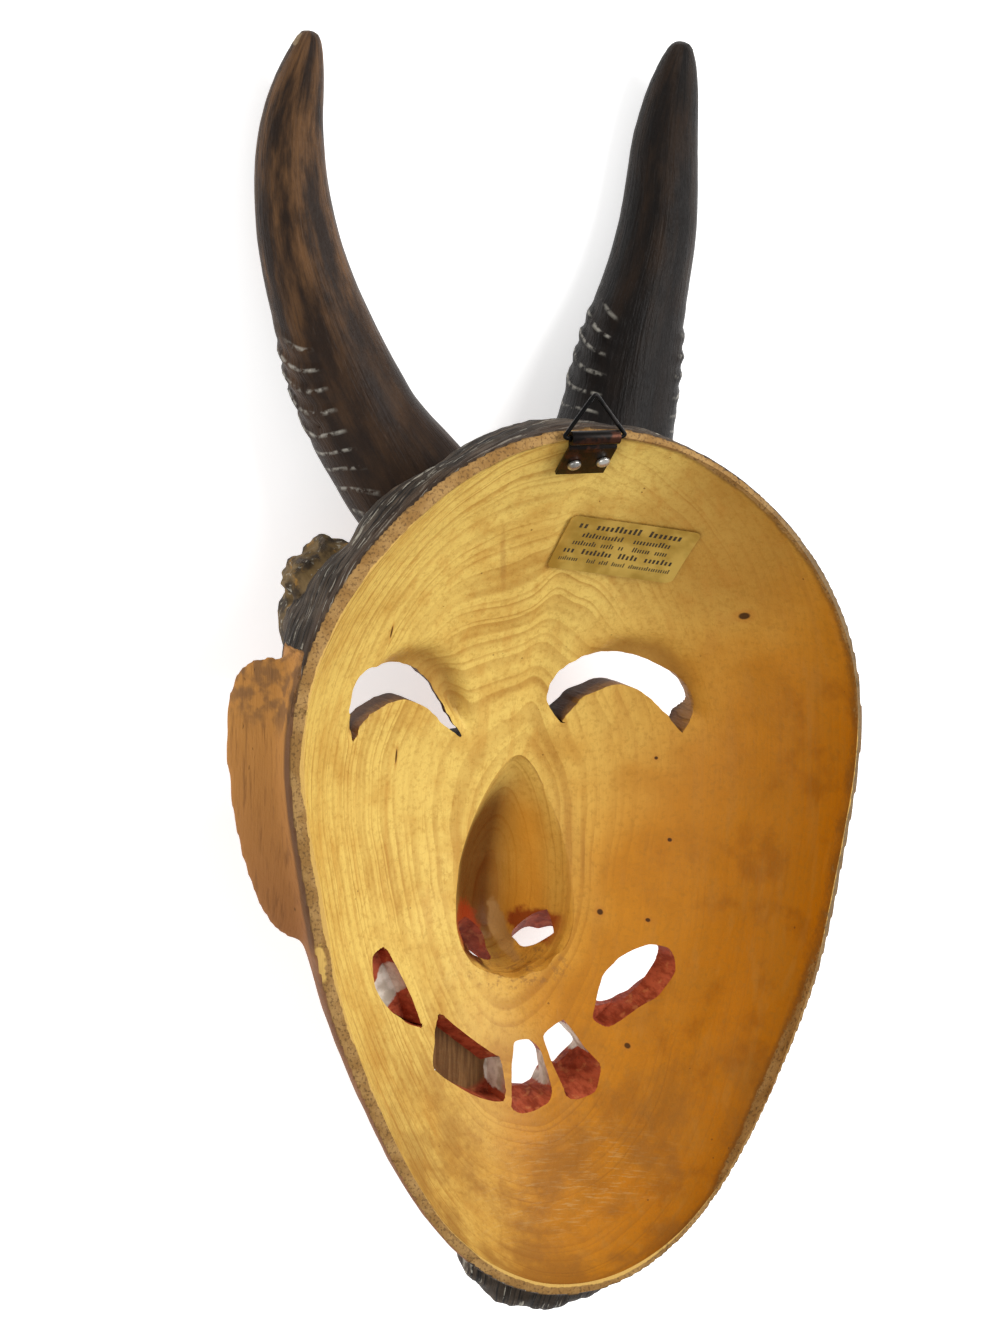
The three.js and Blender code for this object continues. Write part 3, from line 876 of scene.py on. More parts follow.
def build_tuft(side: int) -> list[Thing]:
    """The knobbly end of a brow at the temple.

    Args:
        side: -1 for the left and 1 for the right.

    Returns:
        Its lumps.
    """
    lumps = []
    for index, (x, y, z, radius) in enumerate(TUFT_LUMPS):
        unit, faces = ball(48, 32)
        knob = 1 + 0.12 * np.sin(5 * unit[:, 0] + 4 * unit[:, 1] + 2)
        curl = 1 + 0.07 * np.abs(np.sin(7 * unit[:, 1] + 3 * unit[:, 0] + index))
        reach = radius * knob * curl
        points = np.column_stack([
            side * (-x + 0.9 * reach * unit[:, 0]), y + reach * unit[:, 1], z + 1.5 * reach * unit[:, 2],
        ])
        lumps.append(make_object("tuft", points, faces))
    return lumps


def build_beard() -> Thing:
    """The chin beard: one broad tuft, combed into locks.

    Returns:
        The beard.
    """
    unit, faces = ball(120, 72)
    angle = np.arctan2(unit[:, 1], unit[:, 0])
    forward = np.maximum(0, -unit[:, 2])
    lock = (1 - 0.55 * forward ** 2) * (1 + 0.07 * np.abs(np.sin(5 * angle)) * np.hypot(unit[:, 0], unit[:, 1]))
    points = np.column_stack([
        BEARD_X + 5 * forward + 31 * lock * unit[:, 0],
        BEARD_Y + 23 * lock * unit[:, 1] + 2 * forward,
        RIM - 22 + np.where(unit[:, 2] > 0, 19, 74) * unit[:, 2],
    ])
    return make_object("beard", points, faces)


def build_dome() -> Thing:
    """The head's domed front with its features, closed by a flat lid at the rim.

    Returns:
        The dome.
    """
    unit, faces, lid = bowl(420, 170)
    angle = np.arctan2(unit[:, 1], unit[:, 0])
    across = np.minimum(1, np.hypot(unit[:, 0], unit[:, 1]))
    radius = FACE.radius(angle)
    drop = np.maximum(0, -unit[:, 2])
    reach = radius * across ** FACE.fullness(angle)
    x, y = reach * np.cos(angle), reach * np.sin(angle)
    z = RIM - FACE.depth * drop ** FACE.taper(angle)
    away = np.column_stack([unit[:, 0] / radius, unit[:, 1] / radius, unit[:, 2] / FACE.depth])
    away /= np.maximum(1e-9, np.linalg.norm(away, axis=1))[:, None]
    turn = np.arccos(across)
    lock = np.abs(np.sin((angle + 0.09 * np.sin(2.4 * turn + 5 * angle)) * FEATURES.hair_locks / 2))
    hair = FEATURES.hair_cover(x, y) * (3 + 3.2 * (lock - 0.35))
    rise = smooth(0.02, 0.3, drop) * (FEATURES.relief(x, y) + hair)
    points = np.column_stack([x, y, z]) + away * rise[:, None]
    points[lid] = np.column_stack([
        across * radius * np.cos(angle), across * radius * np.sin(angle), np.full(len(unit), RIM),
    ])[lid]
    return make_object("dome", points, faces)


class Strands:
    """The lie of the hair, the grain and the carver's strokes over the outside, in millimetres."""

    def __init__(self, points: Points) -> None:
        """Works out every region of the outside for the places given.

        Args:
            points: places in face millimetres.
        """
        self.points = points
        x, y, z = points.T
        self.low = RIM - z
        self.ear = np.maximum(EARS[0].cover(points), EARS[1].cover(points))
        self.horn = np.zeros(len(points))
        self.horn_along = np.zeros(len(points))
        self.horn_ridge = np.zeros(len(points))
        self.horn_cover = np.zeros(len(points))
        horn_turn = np.zeros(len(points))
        for horn in HORNS:
            along, away, turn = horn.locate(points)
            # the stain runs down over the flared root, almost to the rim
            inside = 1 - smooth(0, 0.22, away - 1.12 - 0.5 * (1 - smooth(0.08, 0.26, along)))
            inside = inside * smooth(0.05, 0.12, along)
            nearer = inside > self.horn
            self.horn = np.maximum(self.horn, inside)
            self.horn_along = np.where(nearer, along, self.horn_along)
            self.horn_ridge = np.where(nearer, horn.ridge_phase(along, turn), self.horn_ridge)
            self.horn_cover = np.where(nearer, horn.ridge_cover(along, turn), self.horn_cover)
            horn_turn = np.where(nearer, turn, horn_turn)
        outer = 1 - smooth(34, 62, self.low)
        crown = smooth(58, 74, y)
        self.hair = np.maximum(FEATURES.hair_cover(x, y), crown * outer) * (1 - self.ear)
        self.beard = smooth(-1, 3, 30 - np.hypot((x - BEARD_X) / 1.35, y - BEARD_Y)) * (1 - smooth(-129, -121, y))
        tuft = np.zeros(len(points))
        for lump_x, lump_y, lump_z, radius in TUFT_LUMPS:
            gap = np.sqrt(((np.abs(x) + lump_x) / 0.95) ** 2 + (y - lump_y) ** 2 + ((z - lump_z) / 1.5) ** 2)
            tuft = np.maximum(tuft, 1 - smooth(1.05, 1.3, gap / radius))
        self.tuft = tuft
        front = smooth(20, 44, self.low)
        self.brow = np.clip(FEATURES.brow(x, y) * 1.6, 0, 1) * front
        self.tooth = FEATURES.tooth(x, y) * front
        self.lip = FEATURES.lip(x, y) * front * (1 - smooth(0.1, 0.5, self.tooth))
        angle = np.arctan2(y, x)
        side = np.sign(x)
        hair_across = 0.9 * self.low + 30 * np.abs(angle - np.pi / 2) + 1.5 * grain_noise(points, 22, 3)
        hair_along = 120 * angle * side
        brow_across = 0.8 * np.abs(x) - 0.6 * y + 2.5 * grain_noise(points, 9, 5)
        beard_across = x + 0.2 * z + 1.5 * grain_noise(points, 12, 8)
        self.across = np.where(self.brow + self.tuft > 0.5, brow_across, hair_across)
        self.across = np.where(self.beard > 0.5, beard_across, self.across)
        self.across = np.where(self.hair + self.beard + self.brow + self.tuft < 0.2, x, self.across)
        self.across = np.where(self.horn > 0.5, 15 * horn_turn, self.across)
        self.along = np.where(self.horn > 0.5, 230 * self.horn_along, np.where(self.beard > 0.5, z, hair_along))
        self.along = np.where(self.hair + self.beard + self.brow + self.tuft + self.horn < 0.2, y, self.along)

    def strokes(self) -> Points:
        """How far the carver's finer strokes stand out, in millimetres.

        Returns:
            One value for each place.
        """
        wave = np.abs(np.sin(np.pi * self.across / 5.2 + 0.8 * grain_noise(self.points, 14, 11)))
        fine = 0.55 * (wave - 0.5) + 0.3 * grain_noise(self.points, 3.2, 2)
        hairy = np.clip(self.hair + self.beard + 1.4 * self.brow + 1.4 * self.tuft, 0, 1.4) * (1 - self.horn)
        facets = 0.28 * grain_noise(self.points, 9, 21) + 0.12 * grain_noise(self.points, 4, 22)
        knob = 0.9 * self.tuft * grain_noise(self.points, 4.5, 31)
        return hairy * fine + knob + (1 - np.clip(hairy, 0, 1)) * (1 - 0.6 * self.horn) * facets


@dataclass
class Cut:
    """A tool that is taken out of the wood, and the finish that it leaves."""

    thing: Thing
    finish: Finish


@dataclass(frozen=True)
class Slot:
    """A mouth slot: its outline on the hollow, and the side whose wall leans in towards the floor."""

    outline: tuple[tuple[float, float], ...]
    lean_way: tuple[float, float]
    lean: float


SLOTS = (
    Slot(((-62, -40), (-54.5, -37.5), (-49, -45), (-43, -58), (-40.5, -69), (-46, -67.5), (-56, -60.5), (-62.5, -51)),
         (0.95, 0.3), 4.5),
    Slot(((-31, -65), (-20, -73), (-8, -82.3), (-5.6, -86), (-7.5, -100.5), (-22, -96), (-37, -85), (-35.5, -76)),
         (0.5, 0.86), 6.0),
    Slot(((0.6, -80.5), (7, -79.5), (11, -84.5), (12.3, -97.5), (10, -101), (3.6, -103), (-4.2, -102.5), (-2.5, -91)),
         (0.0, -1.0), 4.0),
    Slot(((12.3, -78.6), (20, -73), (21, -73.3), (26.6, -82), (30.6, -88.6), (26.5, -96.2), (18.3, -99), (14.7, -90)),
         (0.3, -0.95), 4.0),
    Slot(((36, -57), (42.5, -49.5), (52.8, -44), (59.4, -45), (59.2, -52.4), (51.6, -62.5), (36.5, -75), (31.5, -72)),
         (0.6, -0.8), 2.5),
)

EYES = (
    ((-69.5, 42), (-68.5, 43), (-63, 51.5), (-49, 56), (-38, 52.5), (-29.5, 45), (-21, 39.2), (-20.3, 39.3),
     (-27, 48.5), (-34, 58.5), (-43, 67.5), (-54, 71.3), (-66, 70.3), (-71.5, 66), (-73.2, 56), (-71, 47)),
    ((20.6, 42), (21.5, 43), (27.7, 51.8), (41.6, 57), (54, 50.8), (65.2, 38.5), (66.3, 38.3), (68.6, 45), (67, 53),
     (62.2, 60), (50.4, 67), (36.6, 70.6), (26.4, 68.8), (18.5, 63.4), (15, 56.7), (14.8, 50)),
)

GAPS = (
    ((1, -81), (8, -79.8), (14, -83), (15.3, -90), (11.3, -97.6), (4, -98.6), (-2.6, -97.5), (-2, -88)),
    ((12.6, -79), (20.3, -73.4), (28, -83), (20.5, -91), (16, -88)),
    ((36.3, -57.5), (43, -49.6), (53, -44.8), (60, -46), (63.5, -52), (53.7, -61), (42.5, -67.6), (34.8, -68.5)),
)


@dataclass(frozen=True)
class Openings:
    """The hollow and everything that is cut through it."""

    eye_flare: tuple[float, float] = (0.46, 0.27)
    eye_flare_from: tuple[float, float] = (48.0, 60.0)
    nose_floor: float = 18.0
    nostril_radius: float = 7.0
    slot_floor: float = 6.0
    slim: float = 3.6

    def hollow(self) -> Thing:
        """The bowl behind the face. Its edge is thinned where the rim narrows, on the right and at the chin.

        Returns:
            The tool.
        """
        unit, faces, lid = bowl(270, 100)
        angle = np.arctan2(unit[:, 1], unit[:, 0])
        across = np.minimum(1, np.hypot(unit[:, 0], unit[:, 1]))
        reach = (FACE.radius(angle) - FACE.rim_width) * across
        x, y = reach * np.cos(angle), reach * np.sin(angle)
        z = FACE.hollow(x, y)
        slim = self.slim * smooth(-0.35, 0.55, np.cos(angle - 0.2)) + 1.2 * smooth(0.2, 0.9, -np.sin(angle))
        slim = slim + 0.35 * grain_noise(np.column_stack([x, y, z]), 13, 43)
        edge = smooth(0.86, 1.0, across)
        x, y = (value + slim * edge * way for value, way in ((x, np.cos(angle)), (y, np.sin(angle))))
        spots = np.column_stack([x, y, z])
        wobble = grain_noise(spots, 38, 41) * 0.9 + grain_noise(spots, 11, 42) * 0.22
        z = z + wobble * smooth(0.03, 0.3, 1 - across)
        z = np.where(lid, RIM + np.where(across > 0.999, 0.0, 5.0), z)
        return make_object("hollow", np.column_stack([x, y, z]), faces)

    def nose(self) -> Thing:
        """The deep trough behind the nose: smooth above, left rough by the gouge round the nostrils.

        Returns:
            The tool.
        """
        unit, faces = ball(104, 88)
        rise = unit[:, 1]
        along = np.sign(rise) * np.abs(rise) ** np.where(rise < 0, 0.8, 1.0)
        span = np.maximum(0.02, np.sqrt(np.maximum(0, 1 - rise * rise)))
        # the left wall is steep; the right one is a long easy slope
        power = 1.9 + 1.3 * smooth(-0.5, 0.7, unit[:, 0] / span) + 0.6 * smooth(0.3, 0.9, rise)
        x = FACE.nose_x + FACE.nose_drift * rise + FACE.nose_half_width(rise) * unit[:, 0]
        y = FACE.nose_y + FACE.nose_half_tall * along
        start = FACE.hollow(x, y)
        steep = (start - self.nose_floor - 14 * rise) * span * (np.abs(unit[:, 2]) / span) ** power
        z = start + np.where(unit[:, 2] > 0, 14 * unit[:, 2], -steep)
        points = np.column_stack([x, y, z])
        low = smooth(22, 36, FACE.nose_y - y)
        points[:, 2] += 0.3 * grain_noise(points, 7, 51) + 1.2 * low * grain_noise(points, 4.2, 52)
        points[:, 1] += 1.3 * low * grain_noise(points, 5, 53)
        return make_object("nose_hollow", points, faces)

    def eye(self, which: int) -> Thing:
        """The laughing crescent, straight through.

        Args:
            which: 0 for the left eye and 1 for the right.

        Returns:
            The tool.
        """
        rim = self.eye_rim(which)
        return make_object("eye", *prism(at_height(rim, -5.0), at_height(rim, RIM - 25.0)))

    def eye_rim(self, which: int) -> Points:
        """An eye's outline on the hollow, nibbled by short bites of the gouge.

        Args:
            which: 0 for the left eye and 1 for the right.

        Returns:
            The outline's points.
        """
        rim = closed_curve(EYES[which], 8, 0.4)
        # the edge sinks into the scoop, and moves over with it
        rim = rim + FACE.eye_scoop(rim[:, 0], rim[:, 1])[:, None] * np.array([0.4, -0.17])
        bites = grain_noise(at_height(rim, 0.0), 2.6, 60 + which)
        return rim + outward(rim) * ((0.5 - 0.15 * which) * bites)[:, None]

    def eye_undercut(self, which: int) -> Thing:
        """The eye's right-hand wall, cut back towards the front.

        Args:
            which: 0 for the left eye and 1 for the right.

        Returns:
            The tool.
        """
        rim = self.eye_rim(which)
        away = outward(rim)
        lean = even_out(np.maximum(0, away[:, 0]) * smooth(-0.4, 0.1, away[:, 1]), 4)
        start, flare = self.eye_flare_from[which], self.eye_flare[which]
        low = rim + np.column_stack([lean * flare * (start + 5), np.zeros(len(rim))])
        return make_object("eye_undercut", *prism(at_height(low, -5.0), at_height(rim, start)))

    def nostril(self, side: int) -> Thing:
        """A bore that slants down and out through the underside of the nose.

        Args:
            side: -1 for the left and 1 for the right.

        Returns:
            The tool.
        """
        mouth = np.array([8.0 + 11.0 * side, -41.6 - 1.0 * side, 32.0])
        leave = np.array([4.5 + 17.5 * side, -64.2, 3.4])
        way = Vector(leave - mouth).normalized()
        turn = np.array(Vector((0, 0, -1)).rotation_difference(way).to_matrix())
        angle = 2 * np.pi * np.arange(56) / 56
        wander = 1 + 0.07 * np.sin(3 * angle + side) + 0.04 * np.sin(5 * angle)
        ends = []
        wide = 1.05 + 0.1 * side
        inner = self.nostril_radius + 3.0 * (side < 0)
        for spot, radius in ((mouth - 8 * np.array(way), inner), (leave, self.nostril_radius + 0.5)):
            ring = np.column_stack([
                wide * radius * wander * np.cos(angle), radius * wander * np.sin(angle) / wide, np.zeros(56),
            ])
            ends.append(ring @ turn.T + spot)
        return make_object("nostril", *prism(*ends))

    def slot(self, slot: Slot) -> Thing:
        """A mouth slot, down to the backs of the teeth.

        Args:
            slot: the slot's outline and lean.

        Returns:
            The tool.
        """
        rim = closed_curve(slot.outline, 6, 0.3)
        rim = rim + outward(rim) * (0.35 * grain_noise(at_height(rim, 0.0), 4, 64))[:, None]
        middle = rim.mean(axis=0)
        floor = float(FACE.front(middle[0], middle[1])) + self.slot_floor
        surface = float(FACE.hollow(middle[0], middle[1]))
        away = outward(rim)
        lean = even_out(np.maximum(0, away @ np.array(slot.lean_way)), 3)[:, None] * slot.lean * away
        top = float(np.max(FACE.hollow(rim[:, 0], rim[:, 1]))) + 2.0
        high = rim + lean * (top - surface) / (surface - floor)
        return make_object("slot", *prism(at_height(rim - lean, floor), at_height(high, top)))

    def gap(self, corners: Sequence[tuple[float, float]]) -> Thing:
        """A gap between teeth, right through.

        Args:
            corners: its outline on the hollow.

        Returns:
            The tool.
        """
        rim = closed_curve(corners, 6, 0.3)
        middle = rim.mean(axis=0)
        top = float(FACE.front(middle[0], middle[1])) + self.slot_floor + 3
        return make_object("gap", *prism(at_height(rim, 5.0), at_height(rim, top)))

    def cuts(self) -> list[Cut]:
        """Every tool, in the order it is used.

        Returns:
            The tools with their finishes.
        """
        tools = [Cut(self.hollow(), Finish.HOLLOW), Cut(self.nose(), Finish.HOLLOW)]
        for which in (0, 1):
            tools.append(Cut(self.eye(which), Finish.REVEAL))
            tools.append(Cut(self.eye_undercut(which), Finish.REVEAL))
            tools.append(Cut(self.nostril(2 * which - 1), Finish.MOUTH))
        tools += [Cut(self.slot(slot), Finish.MOUTH) for slot in SLOTS]
        tools += [Cut(self.gap(corners), Finish.MOUTH) for corners in GAPS]
        return tools


def even_out(values: Points, rounds: int) -> Points:
    """Smooths numbers that lie round a closed outline.

    Args:
        values: one for each point.
        rounds: how many times.

    Returns:
        The smoothed numbers.
    """
    for _ in range(rounds):
        values = 0.5 * values + 0.25 * (np.roll(values, 1) + np.roll(values, -1))
    return values


def outward(rim: Points) -> Points:
    """The directions that point out of a closed outline, one for each of its points.

    Args:
        rim: the outline's points.

    Returns:
        One unit vector for each point.
    """
    ahead = np.roll(rim, -1, axis=0) - np.roll(rim, 1, axis=0)
    ahead = ahead / np.maximum(1e-9, np.linalg.norm(ahead, axis=1))[:, None]
    after = np.roll(rim, -1, axis=0)
    area = float(np.sum(rim[:, 0] * after[:, 1] - rim[:, 1] * after[:, 0]))
    return np.column_stack([ahead[:, 1], -ahead[:, 0]]) * math.copysign(1.0, area)


@dataclass
class CarvedMask:
    """The mask's one block of limewood: head, hair, horns, ears and beard, hollowed and pierced."""

    finishes: dict[Finish, Material]
    voxel: float = 1.7
    kept_faces: float = 0.65
    openings: Openings = field(default_factory=Openings)

    def build(self) -> Thing:
        """Carves the block and notes each region for the finishes.

        Returns:
            The piece.
        """
        parts = [build_dome(), build_beard(), *build_tuft(-1), *build_tuft(1)]
        parts += [horn.build() for horn in HORNS] + [ear.build() for ear in EARS]
        wood = merge(parts, "mask_wood")
        remesh = wood.modifiers.new("fuse", "REMESH")
        remesh.mode = "VOXEL"
        remesh.voxel_size = self.voxel * 0.001
        apply_modifiers(wood)
        self.ease_joins(wood.data)
        self.comb(wood.data)
        # the smooth parts need fewer faces than the strands do
        thin = wood.modifiers.new("thin", "DECIMATE")
        thin.ratio = self.kept_faces
        apply_modifiers(wood)
        wood.data.materials.clear()
        for finish in Finish:
            wood.data.materials.append(self.finishes[finish])
        for cut in [*self.openings.cuts(), Cut(self.resting_block(), Finish.PAINTED)]:
            self.take_out(wood, cut)
        self.note_regions(wood.data)
        shade_smooth(wood, 38)
        LOG.info("mask_wood: %d faces", len(wood.data.polygons))
        return wood

    @staticmethod
    def resting_block() -> Thing:
        """Everything below the surface that the mask lies on.

        Returns:
            The block.
        """
        sides = np.array([(-200, -250), (200, -250), (200, 340), (-200, 340)], float)
        return make_object("resting_block", *prism(at_height(sides, -30.0), at_height(sides, 0.0)))

    @staticmethod
    def ease_joins(mesh: Mesh) -> None:
        """Rounds the inner corners where horns and ears grow out of the head.

        Args:
            mesh: the uncut wood.
        """
        points = places_of(mesh)
        weight = np.zeros(len(points))
        for horn in HORNS:
            along, away, _ = horn.locate(points)
            weight = np.maximum(weight, hill(along - 0.1, 0.12) * (1 - smooth(1.6, 2.5, away)))
        for ear in EARS:
            x = ear.side * points[:, 0]
            up = points[:, 1] - ear.middle_y
            seam = hill(x - 97 - 0.05 * up, 7) * (1 - smooth(50, 66, np.abs(up)))
            weight = np.maximum(weight, 0.8 * seam * smooth(6, 14, RIM - points[:, 2]))
            weight = np.maximum(weight, 0.12 * ear.cover(points) * smooth(100, 106, x))
        rim = smooth(1.5, 5, RIM - points[:, 2])
        relax(mesh, 0.9 * weight * rim, 40)

    @staticmethod
    def comb(mesh: Mesh) -> None:
        """Cuts the finer strokes of hair, brows and beard into the surface.

        Args:
            mesh: the uncut wood.
        """
        points = places_of(mesh)
        fade = smooth(0.8, 4, RIM - points[:, 2])
        place(mesh, points + normals_of(mesh) * (fade * Strands(points).strokes())[:, None])

    @staticmethod
    def take_out(wood: Thing, cut: Cut) -> None:
        """Takes a tool's shape out of the wood and gives the cut its finish.

        Args:
            wood: the wood.
            cut: the tool, which goes, and its finish.
        """
        cut.thing.data.materials.clear()
        cut.thing.data.materials.append(wood.data.materials[cut.finish.value])
        knife = wood.modifiers.new("cut", "BOOLEAN")
        knife.operation = "DIFFERENCE"
        knife.solver = "MANIFOLD"
        knife.object = cut.thing
        knife.material_mode = "TRANSFER"
        apply_modifiers(wood)
        bpy.data.objects.remove(cut.thing)

    def note_regions(self, mesh: Mesh) -> None:
        """Stores each region of the surface for the finishes to read.

        Args:
            mesh: the carved wood.
        """
        points = places_of(mesh)
        x, y = points.T[:2]
        strands = Strands(points)
        for name in (
            "hair", "beard", "tuft", "brow", "tooth", "lip", "horn", "horn_along", "horn_ridge", "horn_cover", "ear",
        ):
            keep_value(mesh, name, getattr(strands, name))
        keep_vector(mesh, "lie", np.column_stack([strands.across, strands.along, np.zeros(len(points))]))
        keep_value(mesh, "scoop", FACE.eye_scoop(x, y) / FACE.scoop_depth)
        angle = np.arctan2(y, x)
        inward = FACE.radius(angle) - np.hypot(x, y)
        keep_value(mesh, "past_rim", -inward)
        # the brown paint laps over the flat rim: wide at the left and the crown, narrow at the right
        left = smooth(-0.3, 0.7, -np.cos(angle))
        lap = 2.4 + 2.6 * left + 1.2 * smooth(0.4, 1, np.sin(angle)) + 0.4 * smooth(0.3, 1, -np.sin(angle))
        ragged = 0.9 * grain_noise(points, 9, 71) + 0.5 * grain_noise(points, 2.6, 72)
        keep_value(mesh, "lap", lap - inward + (0.35 + 0.65 * left) * ragged)


# Finishes

EASE = {"interpolation_type": "SMOOTHSTEP"}
# the settings that a node has unless it is given others
USUAL: dict[str, dict[str, str]] = {"Mix": {"data_type": "RGBA"}, "Math": {"operation": "MULTIPLY"}}


def linear(hex_colour: str) -> tuple[float, float, float, float]:
    """An sRGB hex colour as linear light.

    Args:
        hex_colour: such as "#E3C06A".

    Returns:
        Red, green, blue and alpha.
    """
    parts = [int(hex_colour[i:i + 2], 16) / 255 for i in (1, 3, 5)]
    light = [c / 12.92 if c <= 0.04045 else ((c + 0.055) / 1.055) ** 2.4 for c in parts]
    return light[0], light[1], light[2], 1.0


class Recipe:
    """One material's node tree while it is being put together. Its places are in face millimetres."""

    def __init__(self, name: str) -> None:
        """Starts a material with a Principled shader.

        Args:
            name: the material's name.
        """
        self.material = bpy.data.materials.new(name)
        self.material.use_nodes = True
        self.tree = self.material.node_tree
        self.shader = next(n for n in self.tree.nodes if n.type == "BSDF_PRINCIPLED")
        here = self.add("TexCoord", pick="Object")
        self.place = self.add("Mapping", here, (0, FACE_TO_MIDDLE, 0), (0, 0, 0), (1000, 1000, 1000))
        self.x, self.y, self.z = (self.add("SeparateXYZ", self.place, pick=axis) for axis in "XYZ")

    def add(self, kind: str, *values: Any, pick: str = "", **settings: Any) -> Socket:
        """Adds a node with its settings and links.

        Args:
            kind: the node's type, without its first word.
            values: its inputs in order, as `feed` takes them.
            pick: the name of the output to give back; the first one if empty.
            settings: the node's own settings, where they aren't the usual ones.

        Returns:
            The output.
        """
        node = self.tree.nodes.new("ShaderNode" + kind)
        for key, value in (USUAL.get(kind, {}) | settings).items():
            setattr(node, key, value)
        for socket, value in zip([s for s in node.inputs if s.enabled], values):
            self.feed(socket, value)
        return node.outputs[pick] if pick else next(s for s in node.outputs if s.enabled)

    def feed(self, socket: Socket, value: Any) -> None:
        """Feeds one input.

        Args:
            socket: the input.
            value: a socket to link from, a hex colour, another value, or None to leave it.
        """
        if isinstance(value, Socket):
            self.tree.links.new(value, socket)
        elif value is not None:
            socket.default_value = linear(value) if isinstance(value, str) else value

    def patches(self, noise: tuple[float, ...], *levels: float) -> Socket:
        """Soft patches of noise.

        Args:
            noise: the patches' size in millimetres, then the noise's detail and roughness.
            levels: the noise where they start and where they are full, then their strength at each.

        Returns:
            The patches' strength.
        """
        size, *detail = noise
        return self.add("MapRange", self.add("TexNoise", self.place, 1 / size, *detail), *levels, **EASE)

    def oval(self, x: float, y: float, wide: float, tall: float, turn: float = 0.0) -> Socket:
        """Distance from a place on the face as a share of an oval's half-width and half-height.

        Args:
            x: the middle, across.
            y: the middle, up the face.
            wide: the half-width.
            tall: the half-height.
            turn: the oval's turn in degrees.

        Returns:
            0 at the middle and 1 at the oval's edge.
        """
        size = (wide, tall, 1e5)
        local = self.add("Mapping", self.place, (x, y, 0), (0, 0, math.radians(turn)), size, vector_type="TEXTURE")
        return self.add("VectorMath", local, operation="LENGTH", pick="Value")

    def finish(self, colour: Any, roughness: Any, normal: Any = None, **plain: float) -> Material:
        """Connects the shader.

        Args:
            colour: the base colour, a socket or a value.
            roughness: the roughness, a socket or a value.
            normal: the relief's socket, if any.
            plain: the shader's other values, by name.

        Returns:
            The material.
        """
        for key, value in (("Base Color", colour), ("Roughness", roughness), ("Normal", normal)):
            self.feed(self.shader.inputs[key], value)
        for key, value in plain.items():
            self.shader.inputs[key.replace("_", " ").title().replace("Ior", "IOR")].default_value = value
        return self.material


@dataclass(frozen=True)
class RimPaint:
    """Brown casein paint brushed over the sawn rim: matt and faintly speckled."""

    base: str = "#A17A47"
    light: str = "#B18D58"
    dark: str = "#4E3722"
    speck_mm: float = 1.1

    def colour(self, recipe: Recipe) -> Socket:
        """The paint's colour: clouds of two browns with dark pores and a dark outer edge.

        Args:
            recipe: the material being made.

        Returns:
            The colour.
        """
        add = recipe.add
        cloud = recipe.patches((9, 3, 0.6), 0.36, 0.64)
        tone = add("Mix", cloud, "#85602F", self.light)
        tone = add("Mix", 0.45, tone, self.base)
        pores = recipe.patches((self.speck_mm, 2, 0.6), 0.5, 0.66, 0, 0.6)
        tone = add("Mix", pores, tone, self.dark)
        past = add("Attribute", attribute_name="past_rim", pick="Fac")
        edge = add("MapRange", past, -0.9, -0.1, 0, 0.65, **EASE)
        return add("Mix", edge, tone, "#2B1F16")


